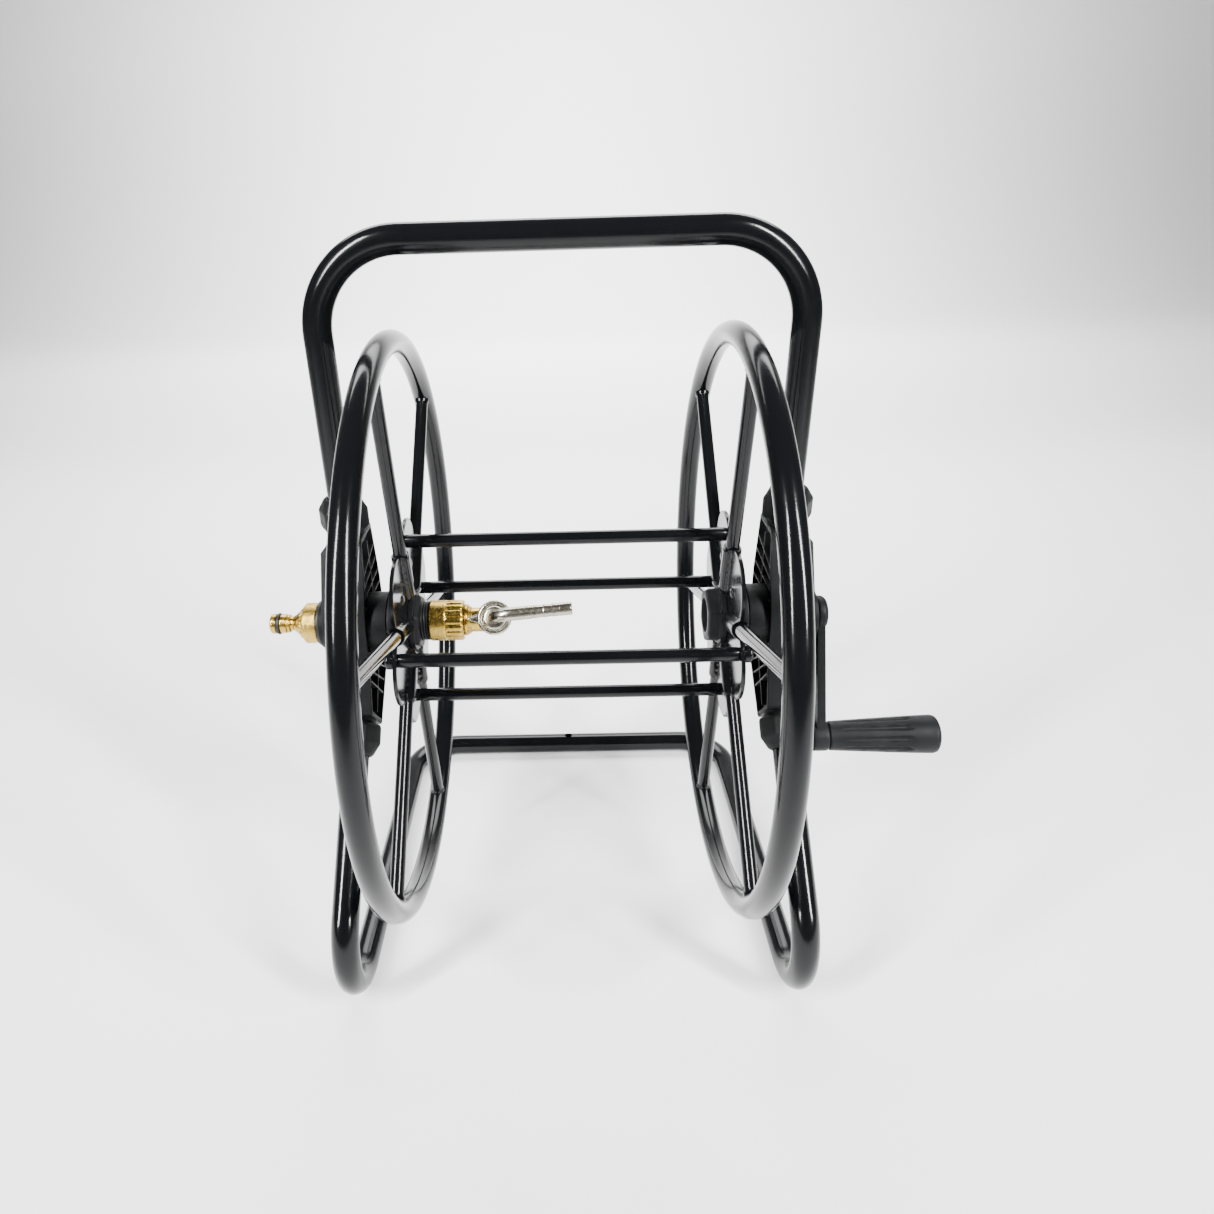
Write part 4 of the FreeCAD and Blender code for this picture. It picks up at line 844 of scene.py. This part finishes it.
# ---------------------------------------------------------------- the hubs
class REEL_OT_journals(bpy.types.Operator):
    """Moulded journals that carry the drum in the brackets, threaded inside the plates"""
    bl_idname = "reel.journals"
    bl_label = "Hub Journals"

    def outline(self, side):
        """Half section (x, r) of a journal; the left one ends in a second, smaller thread."""
        common = [(158, 10), (158, 16.95), (132.5, 16.95), (132.5, 25), (129, 25), (129, 19),
                  (120.5, 19), (120.5, 16), (116.5, 16), (116.5, 15)]
        if side < 0:
            return common + [(104, 15), (104, 12.5), (96, 12.5), (96, 10)]
        return common + [(110, 15), (110, 10)]

    def execute(self, context):
        for name, side in SIDES.items():
            outline = mm(rounded(self.outline(side), 0.5, steps=3, closed=True))
            outline = refined(outline, 0.0005)

            def thread(x, a, r):
                """Coarse thread: 0.8 mm deep, 2 mm pitch, on the two threaded lengths."""
                threaded = (np.abs(r - mm(15)) < mm(0.05)) | (np.abs(r - mm(12.5)) < mm(0.05))
                return -mm(0.8) * helix(x, a, mm(2)) * threaded

            grid = mirrored(axle_placed(turned(outline, 96, thread)), side)
            piece(f"journal_{name}", [grid], MOULDED, "drum", [f"hub_journal_{name}"])
        return {"FINISHED"}


class REEL_OT_hub_nuts(bpy.types.Operator):
    """Flanged six-sided nuts that clamp the plates"""
    bl_idname = "reel.hub_nuts"
    bl_label = "Hub Nuts"

    def execute(self, context):
        for name, side in SIDES.items():
            face = 104.0 if side > 0 else 109.5
            mouth = 13.0 if side > 0 else 15.1
            outline = rounded([(117.5, 16.1), (117.5, 22), (113.5, 22), (113, 19.2), (face + 1, 18.6),
                               (face, 16.2), (face, mouth), (110, mouth), (110, 15.1), (116.3, 15.1),
                               (116.3, 16.1)], 0.5, steps=4, closed=True)

            def six_sided(x, a, r):
                """Soft hexagon past the flange, on the outside only."""
                on_hexagon = (x < mm(113.2)) & (r > mm(15.6))
                return (hexagon_radius(a, 2 * r, 40) - r) * on_hexagon

            grid = mirrored(axle_placed(turned(refined(mm(outline), 0.0008), 120, six_sided)), side)
            piece(f"flange_nut_{name}", [grid], MOULDED, "drum", [f"hub_nut_{name}"])
        return {"FINISHED"}


# ---------------------------------------------------------------- water fittings
def diamond_knurl(x, a, pitch, count):
    """Two crossed helices of count ridges; their product leaves small pyramids."""
    first = np.abs(((a * count / (2 * math.pi)) + x / pitch) % 1 - 0.5) * 2
    second = np.abs(((a * count / (2 * math.pi)) - x / pitch) % 1 - 0.5) * 2
    return np.minimum(first, second)


class REEL_OT_inlet(bpy.types.Operator):
    """Brass quick-connect spigot with its knurled body, washer and seal ring"""
    bl_idname = "reel.inlet"
    bl_label = "Inlet Spigot"

    def execute(self, context):
        outline = [(168, 4), (168, 10), (187.6, 10), (187.6, 14.2), (188.6, 15.1), (197.8, 15.1),
                   (198.8, 14.2), (198.9, 11.6), (201.4, 11.6), (202, 10.6), (202.2, 9.2), (204.5, 8.3),
                   (204.8, 7.6), (207.5, 5.9), (208.2, 5.2), (210, 5.2), (210.6, 6.9), (212.2, 6.9),
                   (212.6, 6.4), (213.2, 7.3), (217.6, 7.3), (217.8, 5.7), (220.9, 5.7), (221.1, 7.6),
                   (224.3, 7.6), (225.5, 6.4), (225.5, 4)]
        outline = refined(mm(rounded(outline, 0.35, steps=3, closed=True)), KNURL_STEP)

        def knurl(x, a, r):
            """Pyramids 0.35 mm high on the body, and beads on the ring beside it."""
            on_body = (x > mm(188.5)) & (x < mm(197.9)) & (r > mm(14.6))
            beads = (x > mm(199.2)) & (x < mm(201.2)) & (r > mm(11.0))
            return (mm(0.35) * diamond_knurl(x, a, mm(1.9), 44) * on_body
                    + mm(0.25) * np.cos(26 * a) * beads)

        grid = mirrored(axle_placed(turned(outline, 352, knurl)), -1)
        piece("quick_spigot", [grid], BRASS, "stand", ["inlet_connector"], sharp=60)
        washer = closed_outline(rounded([(185.05, 10.4), (185.05, 17), (187.5, 17), (187.5, 10.4)], 0.6,
                                        closed=True))
        piece("spigot_washer", [mirrored(axle_placed(turned(mm(washer), 72)), -1)], RUBBER, "stand",
              ["inlet_washer"])
        t = np.linspace(0, 2 * math.pi, 21)
        ring = mm(np.stack([219.3 + 1.3 * np.cos(t), 7.0 + 1.3 * np.sin(t)], -1))
        piece("spigot_o_ring", [mirrored(axle_placed(turned(ring, 72)), -1)], RUBBER, "stand",
              ["spigot_seal"])
        return {"FINISHED"}


class REEL_OT_union(bpy.types.Operator):
    """Brass union nut, half knurled and half fluted, and the neck it draws up"""
    bl_idname = "reel.union"
    bl_label = "Union Nut"

    def execute(self, context):
        nut = [(103.5, 12.6), (103.5, 14.4), (102.9, 15.2), (91.3, 15.2), (91.1, 14.9), (90.5, 14.9),
               (90.4, 15.3), (79.2, 15.3), (77.5, 14.2), (77.5, 9.3), (83.5, 9.3), (83.5, 12.6)]
        nut = refined(mm(rounded(nut, 0.4, steps=3, closed=True)), KNURL_STEP)

        def grip(x, a, r):
            """Fine diamond knurl on the outer half and sixteen broad flutes on the inner half."""
            knurled = (x > mm(91.6)) & (x < mm(102.8)) & (r > mm(14.9))
            fluted = (x < mm(90.2)) & (x > mm(78.6)) & (r > mm(14.5))
            broad = np.abs(np.cos(8 * a)) ** 0.6
            return (mm(0.25) * diamond_knurl(x, a, mm(1.5), 56) * knurled
                    - mm(0.9) * (1 - broad) * fluted)

        grid = mirrored(axle_placed(turned(nut, 448, grip)), -1)
        piece("swivel_nut", [grid], BRASS, "drum", ["union_nut"], sharp=50)
        neck = [(93.4, 6), (93.4, 12), (83.7, 12), (83.7, 9), (77.3, 9), (77.3, 11.4), (76.6, 12),
                (75.2, 12), (74.6, 11.2), (72.6, 10), (71.6, 9.2), (61, 9.2), (61, 6)]
        neck = mm(rounded(neck, 0.5, steps=4, closed=True))
        piece("brass_neck", [mirrored(axle_placed(turned(neck, 96)), -1)], BRASS, "drum", ["outlet_neck"])
        return {"FINISHED"}


class REEL_OT_outlet(bpy.types.Operator):
    """Stainless swivel: ring with a pointed tab, elbow and barbed tail"""
    bl_idname = "reel.outlet"
    bl_label = "Outlet Tail"

    swivel_x = -54.0
    swivel_up = math.radians(30)
    ring_front, ring_thick = 12.0, 4.0
    bend, reach = 13.0, 58.0
    lift = math.radians(4.5)

    def placed(self, grid):
        """Local -Y runs out of the swivel; turn it up towards the front and move it to the axle."""
        c, s = math.cos(self.swivel_up), math.sin(self.swivel_up)
        x, y, z = grid[..., 0], grid[..., 1], grid[..., 2]
        return axle_placed(np.stack([x + mm(self.swivel_x), y * c + z * s, -y * s + z * c], -1))

    def lifted(self, grid):
        """Tip the tail by a few degrees so that it rises away from the fitting."""
        c, s = math.cos(self.lift), math.sin(self.lift)
        x, y, z = grid[..., 0], grid[..., 1], grid[..., 2]
        return np.stack([x * c - z * s, y, x * s + z * c], -1)

    def out_turned(self, outline, sides=72):
        """A turning whose axis runs along local -Y."""
        return aimed(turned(mm(outline), sides), (0, 0, 0), (0, -1, 0))

    def ring(self):
        """Torus round the swivel axis, 4 mm thick, with its middle 10.8 mm from the axis."""
        near, far = self.ring_front, self.ring_front + self.ring_thick
        t = np.linspace(0, 2 * math.pi, 25)
        centre, half = (near + far) / 2, self.ring_thick / 2
        section = np.stack([centre + half * np.sin(t), 10.8 + 2.2 * np.cos(t)], -1)
        return self.out_turned(section)

    def tab(self):
        """A small arrow-shaped tab: a triangle carried through its thickness, edges eased."""
        outline = np.array([(-11, 4.0), (-11.5, -4.0), (-21.6, -0.8)], float)
        ring = rounded(outline, 1.0, steps=4, closed=True)
        middle = outline.mean(axis=0)
        layers = [(0.0, 12.9), (0.88, 12.9), (1.0, 13.3), (1.0, 14.4), (0.88, 14.8), (0.0, 14.8)]
        grid = [np.stack([(middle + (ring - middle) * size)[:, 0], np.full(len(ring), -out),
                          (middle + (ring - middle) * size)[:, 1]], -1) for size, out in layers]
        return mm(np.stack(grid))

    def tail(self):
        """Tube along the swivel axis, round the elbow and out, with three barbs behind its nose.

        Each barb grows away from the tip for 5 mm and then drops back to the tube.
        """
        front = self.ring_front + self.ring_thick
        corners = mm([(0, -4, 0), (0, -front - self.bend, 0), (self.reach, -front - self.bend, 0)])
        path = refined(bent_line(corners, mm(self.bend), steps=20), 0.0006)
        left = mm(self.reach) - path[:, 0]
        nose, pitch, length = mm(9), mm(6.8), mm(5)
        behind = np.maximum(left - nose, 0)
        tooth = np.clip(behind % pitch / length, 0, 1) * (behind % pitch < length)
        barbed = (behind > 0) & (behind < 3 * pitch)
        girth = np.where(barbed, mm(4.45), np.where(behind > 0, mm(4.95), mm(4.75)))
        girth = girth + barbed * mm(0.5) * tooth
        girth = girth - mm(0.7) * np.clip(1 - left / mm(1.0), 0, 1) ** 2
        outside = tube(path, girth, 40, (0, 0, 1), capped=False)
        inside = tube(path, mm(3.2), 40, (0, 0, 1), capped=False)
        return self.lifted(np.concatenate([outside, inside[::-1], outside[:1]]))

    def execute(self, context):
        piece("ring_and_tab", [self.placed(self.ring()), self.placed(self.tab())], STAINLESS, "drum",
              ["swivel_ring"], sharp=50)
        collar = rounded([(-6, 0), (-6, 6.6), (11.5, 6.6), (12, 8.3), (14.6, 8.3), (15.2, 7.2),
                          (15.6, 4.9), (15.6, 0)], 0.6, steps=4)
        piece("barbed_tail", [self.placed(self.tail()), self.placed(self.out_turned(collar))],
              STAINLESS, "drum", ["outlet_tail"], sharp=38)
        return {"FINISHED"}


# ---------------------------------------------------------------- crank and grip
class REEL_OT_crank(bpy.types.Operator):
    """Moulded crank: boss, slim arm, eye and cap"""
    bl_idname = "reel.crank"
    bl_label = "Crank"

    def arm(self):
        """Stadium outline through the two ends, carried through the arm's thickness with soft edges.

        The half width falls in a straight line from 9.5 mm at the axle to 7.5 mm at the grip, and
        both faces lean outwards: the outer one from 192.5 to 197 mm, the inner one by 3 mm.
        """
        far = np.array([GRIP_AXIS.y, GRIP_AXIS.z - AXLE_HEIGHT]) * 1000
        along = far / np.linalg.norm(far)
        across = np.array([-along[1], along[0]])
        t = np.linspace(0, 1, 24)[:, None]
        half = 9.5 - 2.0 * t
        ring = np.vstack([far * t + across * half, (far * t - across * half)[::-1], [across * 9.5]])
        share = np.vstack([t, t[::-1], [[0]]])
        inner, outer = 187 + 3.0 * share, 192.5 + 4.5 * share
        middle = far / 2
        layers = [(0.0, inner), (0.985, inner), (1.0, inner + 0.8), (1.0, outer - 0.8), (0.985, outer),
                  (0.0, outer)]
        grid = [np.hstack([x, middle + (ring - middle) * size]) for size, x in layers]
        return axle_placed(mm(np.stack(grid)))

    def execute(self, context):
        boss = rounded([(187, 0), (187, 13), (191.8, 13), (194.2, 11), (194.5, 9.6), (194.5, 0)], 1.6,
                       steps=6)
        spindle = mm([(110.5, 0), (110.5, 9.9), (188, 9.9), (188, 0)])
        eye = mm(rounded([(187, 0), (187, 11.6), (198.2, 11.6), (199.6, 10.5), (199.6, 0)], 1.4, steps=5))
        to_grip = np.array([0, GRIP_AXIS.y, GRIP_AXIS.z])
        piece("crank_lever", [self.arm(), axle_placed(turned(mm(boss), 72)),
                              axle_placed(turned(spindle, 48)), turned(eye, 72) + to_grip],
              MOULDED, "drum", ["crank_arm", "crank_cap"], sharp=35)
        return {"FINISHED"}


class REEL_OT_grip(bpy.types.Operator):
    """Free-turning grip with ten long flutes and its end cap"""
    bl_idname = "reel.grip"
    bl_label = "Crank Grip"

    def flutes(self, x, a, r):
        """Ten hollows between 209 and 262 mm: round across, widening and deepening to a round end."""
        start, stop = mm(209), mm(262)
        along = np.clip((x - start) / (stop - start), 0, 1)
        inside = (x > start) & (x < stop) & (r > mm(9))
        round_end = np.sqrt(np.clip((stop - x) / mm(4.5), 0, 1))
        deep = mm(1.9) * along ** 0.7 * round_end
        arc = (a * 10 / (2 * math.pi)) % 1 - 0.5
        half_wide = 0.13 + 0.15 * along * round_end
        return -deep * np.clip(1 - (arc / half_wide) ** 2, 0, 1) ** 0.5 * inside

    def execute(self, context):
        outline = [(200, 4.1), (200, 10.4), (201, 11.3), (214, 12), (254, 14), (269, 14.5), (279.5, 14.8),
                   (281.8, 14.2), (283, 12.6), (283, 7.1), (280, 7.1), (280, 4.1)]
        outline = refined(mm(rounded(outline, 0.9, steps=4, closed=True)), 0.0007)
        to_grip = np.array([0, GRIP_AXIS.y, GRIP_AXIS.z])
        piece("fluted_grip", [turned(outline, 240, self.flutes) + to_grip], MOULDED, "grip",
              ["crank_grip"], sharp=60)
        cap = mm(rounded([(279.7, 0), (279.7, 6.9), (282.5, 6.9), (283, 5.6), (283, 0)], 0.7, steps=4))
        piece("grip_end_cap", [turned(cap, 48) + to_grip], MOULDED, "grip", ["grip_cap"])
        return {"FINISHED"}


class REEL_OT_carried(bpy.types.Operator):
    """Give every CAD piece that stays visible the finish of its record slot"""
    bl_idname = "reel.carried"
    bl_label = "Carried CAD Pieces"

    def execute(self, context):
        for entry in frame["record"]["subparts"]:
            mesh = frame["nodes"][entry["node"]].data
            mesh.materials.clear()
            mesh.materials.append(finish_of(entry["material_slot"]))
        return {"FINISHED"}


# ---------------------------------------------------------------- stage
class REEL_OT_stage(bpy.types.Operator):
    """White floor, strip lights in a dim room and the camera"""
    bl_idname = "reel.stage"
    bl_label = "Stage"

    def floor(self):
        """Floor that curves up into a back wall: a quarter circle of 1.5 m between two planes."""
        turn = np.linspace(0, math.pi / 2, 24)
        back = np.r_[-6.0, 4 + 1.5 * np.sin(turn), 5.5]
        rise = np.r_[0.0, 1.5 - 1.5 * np.cos(turn), 7.0]
        x = np.array([-9.0, 9.0])[None]
        grid = np.stack([x + 0 * back[:, None], back[:, None] + 0 * x, rise[:, None] + 0 * x], -1)
        mesh = bpy.data.meshes.new("studio_floor")
        index = np.arange(grid.shape[0] * 2).reshape(-1, 2)
        quads = np.stack([index[:-1, 0], index[:-1, 1], index[1:, 1], index[1:, 0]], -1)
        mesh.from_pydata(grid.reshape(-1, 3).tolist(), [], quads.tolist())
        mesh.shade_smooth()
        mesh.materials.append(new_material("pale_floor", Base_Color=FLOOR_GREY, Roughness=0.9)[0])
        floor = bpy.data.objects.new("studio_floor", mesh)
        bpy.context.scene.collection.objects.link(floor)

    def light(self, name, place, target, size, power, spread):
        """A rectangular soft light aimed at a point, with a honeycomb that limits its spread."""
        data = bpy.data.lights.new(name, "AREA")
        data.shape = "RECTANGLE"
        data.size, data.size_y = size
        data.energy = power
        data.spread = math.radians(spread)
        lamp = bpy.data.objects.new(name, data)
        bpy.context.scene.collection.objects.link(lamp)
        lamp.location = place
        lamp.rotation_euler = (target - lamp.location).to_track_quat("-Z", "Y").to_euler()

    def execute(self, context):
        self.floor()
        centre = middle_of("rim_left").lerp(middle_of("rim_right"), 0.5)
        self.light("left_strip", (-1.5, -1.3, 1.5), centre, (0.2, 1.6), 30, 70)
        self.light("right_strip", (1.5, -1.3, 1.5), centre, (0.2, 1.6), 30, 70)
        self.light("over_floor", (0, 1.5, 1.7), Vector((0, 1.5, 0)), (2.6, 1.2), 90, 130)
        self.light("over_wall", (0, 2.8, 2.2), Vector((0, 4.5, 0.6)), (3.0, 1.0), 300, 150)
        world = bpy.data.worlds.new("studio")
        world.use_nodes = True
        world.node_tree.nodes["Background"].inputs["Color"].default_value = (1, 1, 1, 1)
        world.node_tree.nodes["Background"].inputs["Strength"].default_value = WORLD_STRENGTH
        context.scene.world = world
        data = bpy.data.cameras.new("viewer")
        data.sensor_width = 36.0
        data.lens = 25.7
        data.shift_x, data.shift_y = 0.0515, -0.0315
        camera = bpy.data.objects.new("viewer", data)
        context.scene.collection.objects.link(camera)
        camera.location = (-0.0025, -0.5964, AXLE_HEIGHT + 0.281)
        camera.rotation_euler = Euler([math.radians(v) for v in (68.030, 1.619, 0.632)])
        context.scene.camera = camera
        return {"FINISHED"}


PIECES = (REEL_OT_carried, REEL_OT_handle, REEL_OT_base, REEL_OT_brackets, REEL_OT_clamp_nuts,
          REEL_OT_rims, REEL_OT_spokes, REEL_OT_hub_plates, REEL_OT_rivets, REEL_OT_rods,
          REEL_OT_journals, REEL_OT_hub_nuts, REEL_OT_inlet, REEL_OT_union, REEL_OT_outlet,
          REEL_OT_crank, REEL_OT_grip, REEL_OT_stage)


class REEL_PT_panel(bpy.types.Panel):
    """Lists every piece of the reel"""
    bl_idname = "REEL_PT_panel"
    bl_label = "Hose Reel"
    bl_space_type = "VIEW_3D"
    bl_region_type = "UI"
    bl_category = "Hose Reel"

    def draw(self, context):
        for group in (context.scene.reel_sizes, context.scene.reel_colours):
            column = self.layout.column(align=True)
            for name in group.__annotations__:
                column.prop(group, name)
        for operator in PIECES:
            self.layout.operator(operator.bl_idname)


CLASSES = (ReelSizes, ReelColours) + PIECES + (REEL_PT_panel,)


def register():
    for cls in CLASSES:
        bpy.utils.register_class(cls)
    bpy.types.Scene.reel_sizes = PointerProperty(type=ReelSizes)
    bpy.types.Scene.reel_colours = PointerProperty(type=ReelColours)


def unregister():
    del bpy.types.Scene.reel_sizes
    del bpy.types.Scene.reel_colours
    for cls in reversed(CLASSES):
        bpy.utils.unregister_class(cls)


def main():
    register()
    for operator in PIECES:
        group, name = operator.bl_idname.split(".")
        getattr(getattr(bpy.ops, group), name)()


if __name__ == "__main__":
    main()
